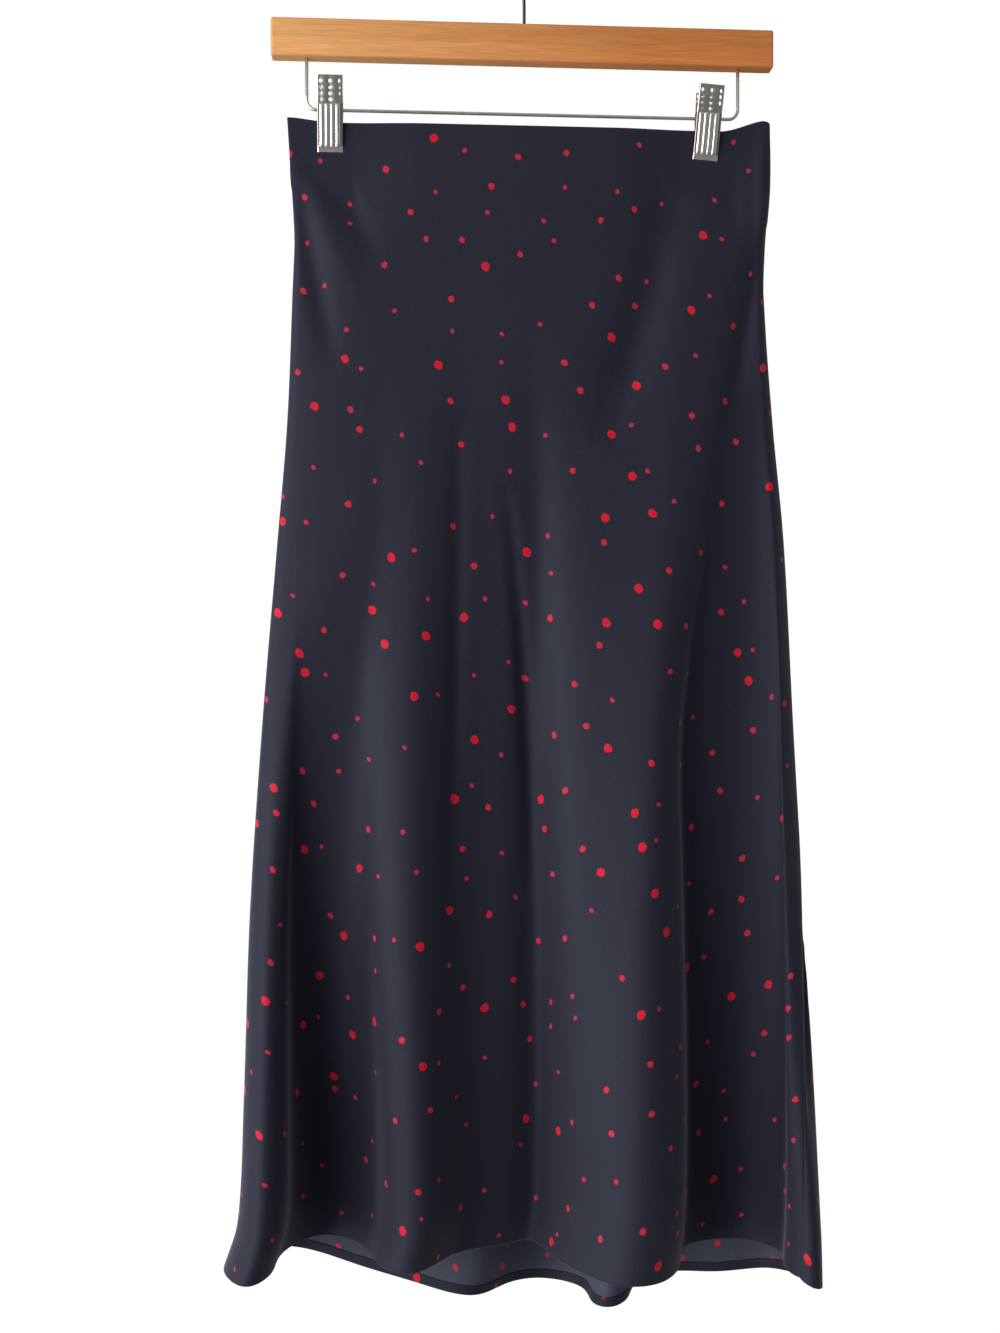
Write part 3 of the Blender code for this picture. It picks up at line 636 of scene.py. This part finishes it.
def dotted_crepe(name, ground, ground_light, dot, small_dot, dot_rim):
    """Crepe with dots of three sizes, each a dark-rimmed oval that leans as the bias-cut print does."""
    cloth = Shader(
        name,
        Roughness=0.60,
        Specular_IOR_Level=0.17,
        Specular_Tint=(0.72, 0.80, 1.0, 1.0),
        Sheen_Weight=0.32,
        Sheen_Roughness=0.40,
        Sheen_Tint=(0.78, 0.78, 1.0, 1.0),
    )
    uv = cloth.add("UVMap", uv_map="cloth").outputs[0]
    turned = cloth.add("Mapping", {"Vector": uv, "Rotation": (0.0, 0.0, -DOT_LEAN)}).outputs[0]
    moved = cloth.add("Mapping", {"Vector": turned, "Scale": DOT_STRETCH}).outputs[0]
    wobble = cloth.add("TexNoise", {"Vector": moved, "Scale": 210.0, "Detail": 1.0},
                       noise_dimensions="2D").outputs["Color"]
    centred = cloth.add("VectorMath", {0: wobble, 1: (0.5, 0.5, 0.5)}, operation="SUBTRACT").outputs[0]
    small = cloth.add("VectorMath", {0: centred, "Scale": DOT_WOBBLE}, operation="SCALE").outputs[0]
    place = cloth.add("VectorMath", {0: moved, 1: small}, operation="ADD").outputs[0]
    cells = cloth.add("TexVoronoi", {"Vector": place, "Scale": 1.0 / DOT_PITCH, "Randomness": DOT_SCATTER},
                      voronoi_dimensions="2D", feature="F1")
    away = cloth.math("MULTIPLY", cells.outputs["Distance"], DOT_PITCH)
    pick = cloth.add("SeparateColor", {"Color": cells.outputs["Color"]}).outputs[0]
    past_small = cloth.math("GREATER_THAN", pick, DOT_SHARES["small"])
    past_middle = cloth.math("GREATER_THAN", pick, DOT_SHARES["middle"])
    grow = cloth.math("MULTIPLY", past_small, DOT_RADII["middle"] - DOT_RADII["small"])
    more = cloth.math("MULTIPLY", past_middle, DOT_RADII["large"] - DOT_RADII["middle"])
    radius = cloth.math("ADD", cloth.math("ADD", grow, more), DOT_RADII["small"])
    inside = cloth.math("SUBTRACT", radius, away)
    mask = cloth.math("ADD", cloth.math("DIVIDE", inside, DOT_EDGE), 0.5, clamp=True)
    strong = cloth.map_range(radius, (DOT_RADII["small"], DOT_RADII["large"]), (0.0, 1.0))
    past_centre = cloth.math("SUBTRACT", inside, DOT_CENTRE["in"])
    centre = cloth.math("DIVIDE", past_centre, DOT_CENTRE["soft"], clamp=True)
    middle = cloth.mix(cloth.math("MULTIPLY", centre, strong), small_dot, dot)
    past_rim = cloth.math("DIVIDE", cloth.math("SUBTRACT", inside, DOT_RIM["in"]), DOT_RIM["soft"])
    rim = cloth.math("SUBTRACT", 1.0, past_rim, clamp=True)
    ink = cloth.mix(rim, middle, dot_rim)
    weave = cloth.add("TexNoise", {"Vector": uv, "Scale": 1100.0, "Detail": 2.0, "Roughness": 0.75},
                      noise_dimensions="2D").outputs[0]
    cloudy = cloth.add("TexNoise", {"Vector": uv, "Scale": 22.0, "Detail": 3.0},
                       noise_dimensions="2D").outputs[0]
    grain = cloth.add("TexNoise", {"Vector": uv, "Scale": 460.0, "Detail": 1.0},
                      noise_dimensions="2D").outputs[0]
    fine = cloth.math("ADD", cloth.math("MULTIPLY", weave, 0.4), cloth.math("MULTIPLY", grain, 0.7))
    tone = cloth.math("ADD", cloth.math("MULTIPLY", cloudy, 0.25), cloth.math("SUBTRACT", fine, 0.17))
    base = cloth.mix(tone, ground, ground_light)
    colour = cloth.mix(mask, base, ink)
    threads = cloth.add("TexWave", {"Vector": moved, "Scale": 420.0, "Distortion": 1.5, "Detail": 1.0},
                        wave_type="BANDS", bands_direction="DIAGONAL").outputs[1]
    normal = cloth.bump(threads, 0.16, 0.00012, cloth.bump(weave, 0.45, 0.00020))
    return cloth.out(colour, None, normal)


def thread_material():
    thread = Shader("navy_thread", Roughness=0.6, Sheen_Weight=0.2)
    place = thread.add("TexCoord").outputs["Object"]
    twist = thread.add("TexWave", {"Vector": place, "Scale": 900.0, "Distortion": 2.0}).outputs[1]
    colour = thread.mix(twist, (0.010, 0.012, 0.018, 1.0), (0.026, 0.029, 0.040, 1.0))
    return thread.out(colour, None, thread.bump(twist, 0.3, 0.0001))


def wood_material():
    """Honey-coloured wood: fine streaks along the bar, paler to the left as painted light from the left side,
    and paler along its lower edge.
    """
    wood = Shader(
        "honey_wood",
        Roughness=0.48,
        Specular_IOR_Level=0.35,
        Coat_Weight=0.12,
        Coat_Roughness=0.32,
    )
    place = wood.add("TexCoord").outputs["Object"]
    long = wood.add("Mapping", {"Vector": place, "Scale": (1.0, 20.0, 20.0)}).outputs[0]
    bands = wood.add("TexNoise", {"Vector": long, "Scale": 8.0, "Detail": 5.0, "Roughness": 0.6,
                                  "Distortion": 0.35}).outputs[0]
    fine_place = wood.add("Mapping", {"Vector": place, "Scale": (1.0, 26.0, 26.0)}).outputs[0]
    fine = wood.add("TexNoise", {"Vector": fine_place, "Scale": 48.0, "Detail": 4.0}).outputs[0]
    axes = wood.add("SeparateXYZ", {"Vector": place}).outputs
    # Painted light: the wood is paler towards the left end, where the light comes from, and deeper towards the
    # right
    along = wood.map_range(axes["X"], (-0.19, 0.10), (0.0, 1.0))
    pale = wood.mix(bands, (0.66, 0.300, 0.098, 1.0), (0.92, 0.475, 0.180, 1.0))
    deep = wood.mix(bands, (0.44, 0.142, 0.032, 1.0), (0.68, 0.240, 0.062, 1.0))
    colour = wood.mix(along, pale, deep)
    streak = wood.map_range(fine, (0.35, 0.68), (0.84, 1.06))
    low = wood.map_range(axes["Z"], LIGHTER_EDGE, (1.0, 1.13), interpolation_type="SMOOTHSTEP")
    end_grain = wood.map_range(wood.math("ABSOLUTE", axes["X"]), END_GRAIN, (1.0, 0.58))
    shade = wood.math("MULTIPLY", wood.math("MULTIPLY", streak, low), end_grain)
    tinted = wood.add("VectorMath", {0: colour, "Scale": shade}, operation="SCALE").outputs[0]
    return wood.out(tinted, None, wood.bump(fine, 0.2, 0.0002))


def metal_material(name, colour, roughness, scratch):
    """Brushed metal, worn in patches, and darkened by painted shade where the mesh's attribute for it says so.
    """
    metal = Shader(name, Metallic=1.0)
    place = metal.add("TexCoord").outputs["Object"]
    brushed = metal.add("TexNoise", {"Vector": place, "Scale": 900.0, "Detail": 2.0}).outputs[0]
    worn = metal.add("TexNoise", {"Vector": place, "Scale": 130.0, "Detail": 3.0}).outputs[0]
    rough = metal.map_range(worn, (0.3, 0.7), (roughness * 0.8, roughness * 1.35))
    dull = tuple(c * 0.86 for c in colour[:3]) + (1.0,)
    # Painted shade: a darker, browner copy of the metal's colour for the grooves between the ribs and the grip
    groove_shade_colour = tuple(c * share for c, share in zip(colour[:3], GROOVE_SHADE_TINT)) + (1.0,)
    groove_shade = metal.add("Attribute", attribute_name="groove_shade").outputs["Fac"]
    shade = metal.mix(groove_shade, metal.mix(worn, dull, colour), groove_shade_colour)
    return metal.out(shade, rough, metal.bump(brushed, scratch, 0.00008))


# Hanger


def smooth_route(points, steps):
    """Points along a smooth curve through the given ones."""
    points = [Vector(p) for p in points]
    ends = [2 * points[0] - points[1]] + points + [2 * points[-1] - points[-2]]
    route = []
    for a, b, c, d in zip(ends, ends[1:], ends[2:], ends[3:]):
        for i in range(steps):
            t = i / steps
            route.append(
                0.5 * (2 * b + (c - a) * t + (2 * a - 5 * b + 4 * c - d) * t * t
                       + (3 * b - a - 3 * c + d) * t * t * t)
            )
    return route + [points[-1]]


def arc(centre, radius, first, last, count):
    """Points in the XZ plane on an arc, angles in degrees from +X."""
    angles = [math.radians(first + (last - first) * i / (count - 1)) for i in range(count)]
    return [Vector((centre[0] + radius * math.cos(a), 0.0, centre[1] + radius * math.sin(a))) for a in angles]


def tube(name, route, radius, material, sides=16):
    """A round wire along a route, closed at both ends with small domes."""
    route = [Vector(p) for p in route]
    bm = bmesh.new()
    along = (route[1] - route[0]).normalized()
    side = along.orthogonal().normalized()
    stations = [(route[0] - along * radius * 0.35, 0.6, along)]
    for i, place in enumerate(route):
        ahead = (route[min(i + 1, len(route) - 1)] - route[max(i - 1, 0)]).normalized()
        stations.append((place, 1.0, ahead))
    stations.append((route[-1] + stations[-1][2] * radius * 0.35, 0.6, stations[-1][2]))
    rings = []
    for place, share, ahead in stations:
        side = (side - ahead * side.dot(ahead)).normalized()
        up = ahead.cross(side)
        rings.append([
            bm.verts.new(place + (side * math.cos(math.tau * k / sides) + up * math.sin(math.tau * k / sides))
                         * radius * share)
            for k in range(sides)
        ])
    for low, high in zip(rings, rings[1:]):
        for k in range(sides):
            bm.faces.new((low[k], low[(k + 1) % sides], high[(k + 1) % sides], high[k]))
    bm.faces.new(rings[0][::-1])
    bm.faces.new(rings[-1])
    bmesh.ops.recalc_face_normals(bm, faces=bm.faces)
    mesh = bpy.data.meshes.new(name)
    bm.to_mesh(mesh)
    bm.free()
    mesh.materials.append(material)
    mesh.shade_smooth()
    return add_object(name, mesh)


def hook(material):
    """The wire hook: a stem from inside the bar, a bow and a turned tip."""
    middle = (0.0, HOOK_WIRE - HOOK_RADIUS)
    neck_z = middle[1] - HOOK_NECK_RADII * HOOK_RADIUS
    stem = [Vector((0.0, 0.0, BAR_TOP - HOOK_STEM_IN_BAR)), Vector((0.0, 0.0, (BAR_TOP + neck_z) / 2)),
            Vector((0.0, 0.0, neck_z))]
    bow = arc(middle, HOOK_RADIUS, *HOOK_BOW_DEGREES, 9)
    tip = [bow[-1] + Vector(HOOK_TIP)]
    return tube("hook_wire", smooth_route(stem + bow + tip, 10), HOOK_WIRE, material)


def wire_frame(material):
    """The steel wire: two legs from inside the bar, joined by the rod that the clips ride on."""
    top = BAR_TOP - BAR_HEIGHT + FRAME_LEG_IN_BAR
    bend_z = ROD_Z + FRAME_BEND
    inner_x = FRAME_LEG_X - FRAME_BEND
    left = arc((-inner_x, bend_z), FRAME_BEND, 180, 270, 15)
    right = arc((inner_x, bend_z), FRAME_BEND, 270, 360, 15)
    route = [Vector((-FRAME_LEG_X, 0.0, top))] + left + right + [Vector((FRAME_LEG_X, 0.0, top))]
    return tube("frame_wire", route, FRAME_WIRE, material)


# Clips: modelled with the rod at the origin, the front jaw towards -Y


def line_at(table, height):
    """The first column of a table of (size, height) rows at a height."""
    rows = sorted(table, key=lambda row: row[1])
    return float(np.interp(height, [row[1] for row in rows], [row[0] for row in rows]))


def rib(x, height, face):
    """How far the ribs below the grip, and the pads between its holes, stand out of the plate."""
    if height > RIB_TOP:
        row = math.cos(math.pi * (height - GRIP_HOLE_TOP[face]) / GRIP_HOLE_PITCH)
        column = math.sin(math.pi * min(abs(x), GRIP_HOLE_X) / GRIP_HOLE_X)
        up = smooth_step((height - RIB_TOP) / GRIP_PAD_RUN_OUT["bottom"])
        down = smooth_step((JAW_LINE[0][1] - height) / GRIP_PAD_RUN_OUT["top"])
        return GRIP_PAD_HEIGHT * abs(row) ** 0.6 * column * float(up * down)
    away = min(abs(x - place) for place in RIB_X)
    if away >= RIB_HALF:
        return 0.0
    crown = math.sqrt(1.0 - (away / RIB_HALF) ** 2)
    ends = min((RIB_TOP - height) / RIB_RUN_OUT["top"], (height - RIB_BOTTOM) / RIB_RUN_OUT["bottom"])
    return RIB_HEIGHT * crown * math.sqrt(min(max(ends, 0.0), 1.0))


def painted_groove_shade(x, height, face):
    """How much painted shade darkens the plate: 1 between the ribs, less on the grip, 0 on the ribs and the
    bottom lip.
    """
    if height > RIB_TOP:
        return GRIP_PAINTED_SHADE
    above_lip = float(smooth_step((height - RIB_BOTTOM) / LIP_FADE))
    return above_lip * (1.0 - min(rib(x, height, face) / RIB_HEIGHT * RIB_SHINE, 1.0))


def jaw_columns(width, flange):
    """Points across a jaw, from one flange's end to the other's: (x, distance back from the plate)."""
    half = width / 2
    corner = [
        (half - JAW_CORNER + JAW_CORNER * math.sin(a), JAW_CORNER - JAW_CORNER * math.cos(a))
        for a in (math.radians(15 * k) for k in range(1, 7))
    ]
    deep = max(flange, JAW_CORNER + FLANGE_LEAST)
    side = corner + [(half, JAW_CORNER + (deep - JAW_CORNER) * k / 5) for k in range(1, 6)]
    across = np.linspace(-(half - JAW_CORNER), half - JAW_CORNER, JAW_FACE_COLUMNS)
    return [(-x, back) for x, back in side[::-1]] + [(x, 0.0) for x in across] + side


def jaw(clip, face, material):
    """One stamped jaw: a plate with ribs, bent back along both edges into cheeks that hold the rod."""
    side = -1 if face == "front" else 1
    width = JAW_WIDTH[face]
    heights = np.linspace(JAW_LINE[0][1], JAW_LINE[-1][1], JAW_ROWS)
    line = smooth_route([(outwards, 0.0, height) for outwards, height in JAW_LINE], 12)
    table = [(p.x, p.z) for p in line]
    bm = bmesh.new()
    # Each vertex carries how much painted shade darkens the plate there
    groove_shade = bm.verts.layers.float.new("groove_shade")
    grid = []
    for height in heights:
        y = line_at(table, height)
        rise = line_at(table, height + SLOPE_STEP) - line_at(table, height - SLOPE_STEP)
        slope = rise / (2 * SLOPE_STEP)
        outward = Vector((0.0, 1.0, -slope)).normalized()
        row = []
        for x, back in jaw_columns(width, line_at(FLANGE, height)):
            offset = (rib(x, height, face) if back == 0.0 else 0.0) - back
            place = Vector((x, y, height)) + outward * offset
            vert = bm.verts.new((place.x, side * place.y, place.z))
            vert[groove_shade] = painted_groove_shade(x, height, face)
            row.append(vert)
        grid.append(row)
    for above, below in zip(grid, grid[1:]):
        for k in range(len(above) - 1):
            bm.faces.new((above[k], below[k], below[k + 1], above[k + 1]))
    bmesh.ops.recalc_face_normals(bm, faces=bm.faces)
    middle = bm.faces[len(bm.faces) // 2]
    if middle.normal.y * side < 0:
        bmesh.ops.reverse_faces(bm, faces=bm.faces)
    mesh = bpy.data.meshes.new(f"{clip}_clip_{face}")
    bm.to_mesh(mesh)
    bm.free()
    mesh.materials.append(material)
    mesh.shade_smooth()
    obj = add_object(mesh.name, mesh)
    sheet = obj.modifiers.new("sheet metal", "SOLIDIFY")
    sheet.thickness = JAW_SHEET
    sheet.offset = -1.0
    holes = grip_holes(f"{clip} {face} holes", face, side, table)
    cut = obj.modifiers.new("holes", "BOOLEAN")
    cut.object = holes
    cut.operation = "DIFFERENCE"
    apply_modifiers(obj)
    bpy.data.objects.remove(holes)
    obj.data.set_sharp_from_angle(angle=math.radians(40))
    place_on_rod(obj, clip)
    return obj


def grip_holes(name, face, side, table):
    """The oval holes of the grip, the middle ones of the back jaw wider, as one mesh."""
    bm = bmesh.new()
    for number in range(GRIP_HOLE_ROWS):
        height = GRIP_HOLE_TOP[face] - number * GRIP_HOLE_PITCH
        y = side * line_at(table, height)
        for x in (-GRIP_HOLE_X, 0.0, GRIP_HOLE_X):
            made = bmesh.ops.create_cone(bm, cap_ends=True, segments=20, radius1=1.0, radius2=1.0,
                                         depth=GRIP_CUT_DEPTH)
            for vert in made["verts"]:
                half = GRIP_SLOT_HALF[face] if x == 0.0 else GRIP_HOLE[0]
                vert.co = Vector((x + vert.co.x * half, y + vert.co.z, height + vert.co.y * GRIP_HOLE[1]))
    bmesh.ops.recalc_face_normals(bm, faces=bm.faces)
    mesh = bpy.data.meshes.new(name)
    bm.to_mesh(mesh)
    bm.free()
    return add_object(name, mesh)


def apply_modifiers(obj):
    """Replaces an object's mesh with the one that its modifiers make."""
    graph = bpy.context.evaluated_depsgraph_get()
    graph.update()
    finished = bpy.data.meshes.new_from_object(obj.evaluated_get(graph))
    obj.modifiers.clear()
    finished.name = obj.name
    obj.data = finished


def place_on_rod(obj, clip):
    """Moves a mesh from the rod's origin to its clip's place, turned as the clip hangs."""
    tilt = CLIP_TILT[clip]
    for vert in obj.data.vertices:
        x, y, z = vert.co
        vert.co = (CLIP_X[clip] + x * math.cos(tilt) + z * math.sin(tilt), y,
                   ROD_Z - x * math.sin(tilt) + z * math.cos(tilt))


def spring(clip, material):
    """A coil round the rod with an arm up the inside of each grip."""
    steps = SPRING_TURNS * SPRING_STEPS
    half = SPRING_LENGTH / 2
    coil = []
    for i in range(steps + 1):
        turn = math.tau * i / SPRING_STEPS
        x = SPRING_LENGTH * (i / steps - 0.5)
        if x < half - SPRING_END:
            coil.append(Vector((x, SPRING_RADIUS * math.cos(turn), SPRING_RADIUS * math.sin(turn))))
    first = [Vector((-half, y, z)) for y, z in SPRING_ARMS["back"]]
    last = [Vector((half, y, z)) for y, z in SPRING_ARMS["front"]]
    obj = tube(f"{clip}_clip_coil", first + coil + last, SPRING_WIRE, material, 8)
    place_on_rod(obj, clip)
    return obj


# Studio


def studio():
    """A pale bowl: a round floor that turns up into a wall, the same from every side."""
    bm = bmesh.new()
    rings = []
    turns = [math.tau * k / BOWL_STEPS for k in range(BOWL_STEPS)]
    for radius, z in BOWL:
        rings.append([bm.verts.new((radius * math.cos(turn), radius * math.sin(turn), z)) for turn in turns])
    for low, high in zip(rings, rings[1:]):
        for k in range(BOWL_STEPS):
            bm.faces.new((low[k], low[(k + 1) % BOWL_STEPS], high[(k + 1) % BOWL_STEPS], high[k]))
    middle = bm.verts.new((0.0, 0.0, BOWL[0][1]))
    for k in range(BOWL_STEPS):
        bm.faces.new((rings[0][k], rings[0][(k + 1) % BOWL_STEPS], middle))
    bmesh.ops.recalc_face_normals(bm, faces=bm.faces)
    mesh = bpy.data.meshes.new("studio_bowl")
    bm.to_mesh(mesh)
    bm.free()
    mesh.shade_smooth()
    paper = Shader("pale_paper", Roughness=0.9, Base_Color=(0.01, 0.01, 0.01, 1.0),
                   Emission_Color=(1.0, 1.0, 1.0, 1.0), Emission_Strength=1.0)
    mesh.materials.append(paper.material)
    bowl = add_object("studio_bowl", mesh)
    bowl.visible_diffuse = False
    bowl.visible_glossy = False
    bowl.visible_shadow = False


def room_light():
    """The world: brighter towards each side in the table, dim between them."""
    world = bpy.data.worlds.new("soft room")
    world.use_nodes = True
    tree = world.node_tree
    way = tree.nodes.new("ShaderNodeTexCoord").outputs["Generated"]
    total = None
    for row in ROOM:
        side = dict(zip(ROOM_COLUMNS, row))
        facing = tree.nodes.new("ShaderNodeVectorMath")
        facing.operation = "DOT_PRODUCT"
        facing.inputs[1].default_value = side["direction"]
        tree.links.new(way, facing.inputs[0])
        step = tree.nodes.new("ShaderNodeMapRange")
        step.interpolation_type = "SMOOTHSTEP"
        tree.links.new(facing.outputs["Value"], step.inputs["Value"])
        step.inputs["From Min"].default_value = side["from"]
        step.inputs["From Max"].default_value = side["to"]
        step.inputs["To Max"].default_value = side["strength"]
        add = tree.nodes.new("ShaderNodeMath")
        tree.links.new(step.outputs[0], add.inputs[0])
        if total is None:
            add.inputs[1].default_value = ROOM_DIM
        else:
            tree.links.new(total, add.inputs[1])
        total = add.outputs[0]
    background = tree.nodes["Background"]
    background.inputs["Color"].default_value = (1.0, 1.0, 1.0, 1.0)
    tree.links.new(total, background.inputs["Strength"])
    bpy.context.scene.world = world


def area_light(name, place, size, power, lights, shines):
    """A soft lamp that faces the skirt: it may light cloth, shine in it, or both."""
    light = bpy.data.lights.new(name, "AREA")
    light.shape = "RECTANGLE"
    light.size, light.size_y = size
    light.energy = power
    obj = add_object(name, light)
    obj.location = place
    obj.rotation_euler = (Vector(LIT_PLACE) - Vector(place)).to_track_quat("-Z", "Y").to_euler()
    obj.visible_diffuse = lights
    obj.visible_glossy = shines
    obj.visible_camera = False


def camera():
    data = bpy.data.cameras.new("camera")
    data.sensor_width = CAMERA_SENSOR
    data.lens = FOCAL_PIXELS / PHOTO_PIXELS * CAMERA_SENSOR
    obj = add_object("camera", data)
    obj.location = CAMERA_PLACE
    obj.rotation_euler = (math.radians(90), 0.0, CAMERA_TURN)
    bpy.context.scene.camera = obj


camera()
studio()
room_light()
for lamp in LIGHTS:
    area_light(**dict(zip(LIGHT_COLUMNS, lamp)))
bpy.context.scene.view_settings.view_transform = "Standard"

right_side = dotted_crepe(
    "dotted_crepe",
    ground=(0.0127, 0.0132, 0.0228, 1.0),
    ground_light=(0.0213, 0.0213, 0.0349, 1.0),
    dot=(0.66, 0.004, 0.016, 1.0),
    small_dot=(0.42, 0.028, 0.050, 1.0),
    dot_rim=(0.10, 0.003, 0.007, 1.0),
)
# The reverse's paler colours are partly the print's own paler back and partly painted light, standing in for
# the light that reaches the inside of the back panel below the front's hem
wrong_side = dotted_crepe(
    "dotted_crepe_reverse",
    ground=(0.045, 0.050, 0.072, 1.0),
    ground_light=(0.069, 0.075, 0.103, 1.0),
    dot=(0.60, 0.020, 0.040, 1.0),
    small_dot=(0.46, 0.050, 0.075, 1.0),
    dot_rim=(0.20, 0.020, 0.034, 1.0),
)
thread = thread_material()
wood = wood_material()
nickel = metal_material("nickel_plate", (0.92, 0.90, 0.86, 1.0), 0.22, 0.02)
grey_wire = metal_material("grey_steel_wire", (0.10, 0.10, 0.11, 1.0), 0.36, 0.08)

drops = row_drops()
shares = column_shares()
rings = [ring(drop, shares) for drop in drops]
drop_column = np.array(drops)
edge = np.minimum(drop_column, SKIRT_LENGTH - drop_column)
past_edge = 1.0 - np.clip(edge / EDGE_ROUND, 0.0, 1.0)
roundness = 0.25 + 0.75 * np.sqrt(1.0 - past_edge ** 2)
stitch_dent = STITCH_DENT * np.exp(-(((SKIRT_LENGTH - HEM_TURN - drop_column) / STITCH_DENT_REACH) ** 2))
seam = np.minimum(shares, 1.0 - shares) * NOMINAL_WIDTH
tuck = SEAM_TUCK * np.exp(-((seam / SEAM_TUCK_REACH) ** 2))[None, :]
half = np.repeat((roundness * CLOTH / 2)[:, None], len(shares), axis=1)
dent = np.repeat(stitch_dent[:, None], len(shares), axis=1)
panels = {}
for panel, creases in (("front", FRONT_CREASES), ("back", BACK_CREASES)):
    points, normals, flat = panel_surface(panel, rings, drops, shares, creases)
    flat = flat + np.array(PRINT_SHIFT[panel])
    body = shell(f"{panel}_cloth", points, normals, flat, half - dent - tuck, -half - tuck,
                 [right_side, wrong_side])
    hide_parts(f"{panel}_panel")
    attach(body, "root")
    panels[panel] = (body, points, normals, flat)

count = sum(1 for drop in drops if drop >= SKIRT_LENGTH - HEM_TURN - 1e-6)
up = SKIRT_LENGTH - drop_column[-count:]
thick = HEM_TURN_CLOTH * np.sqrt(np.clip((HEM_TURN - up) / HEM_TURN_FOLD + 0.2, 0.2, 1.0))
outer = np.full((count, len(shares)), HEM_TURN_BEDDED - CLOTH / 2)
inner = outer - np.repeat(thick[:, None], len(shares), axis=1)
depth = CLOTH / 2 - HEM_TURN_BEDDED + HEM_TURN_CLOTH
for panel, (body, points, normals, flat) in panels.items():
    turned = flat[-count:] * np.array((1.0, -1.0)) + np.array(PRINT_SHIFT["hem"])
    band = shell(f"{panel}_hem_turn", points[-count:], normals[-count:], turned, outer, inner, [right_side])
    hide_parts(f"{panel}_hem")
    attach(band, "root")
    inwards = -normals[STITCH_ROW]
    sewn = stitches(f"{panel}_hem_stitches", points[STITCH_ROW] + inwards * depth, inwards, thread)
    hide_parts(f"{panel}_hem")
    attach(sewn, "root")

for clip in CLIP_X:
    for face in ("front", "back"):
        piece = jaw(clip, face, nickel)
        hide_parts(f"clip_{clip}_{face}")
        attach(piece, "root")
    coil = spring(clip, nickel)
    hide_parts(f"clip_{clip}_spring")
    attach(coil, "root")

for piece, node, slot in ((hook(grey_wire), "hanger_hook", "dark_steel"),
                          (wire_frame(nickel), "clip_wire", "plated_steel")):
    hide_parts(node)
    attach(piece, "root")

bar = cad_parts["hanger_bar"]
bar.data.materials.clear()
bar.data.materials.append(wood)
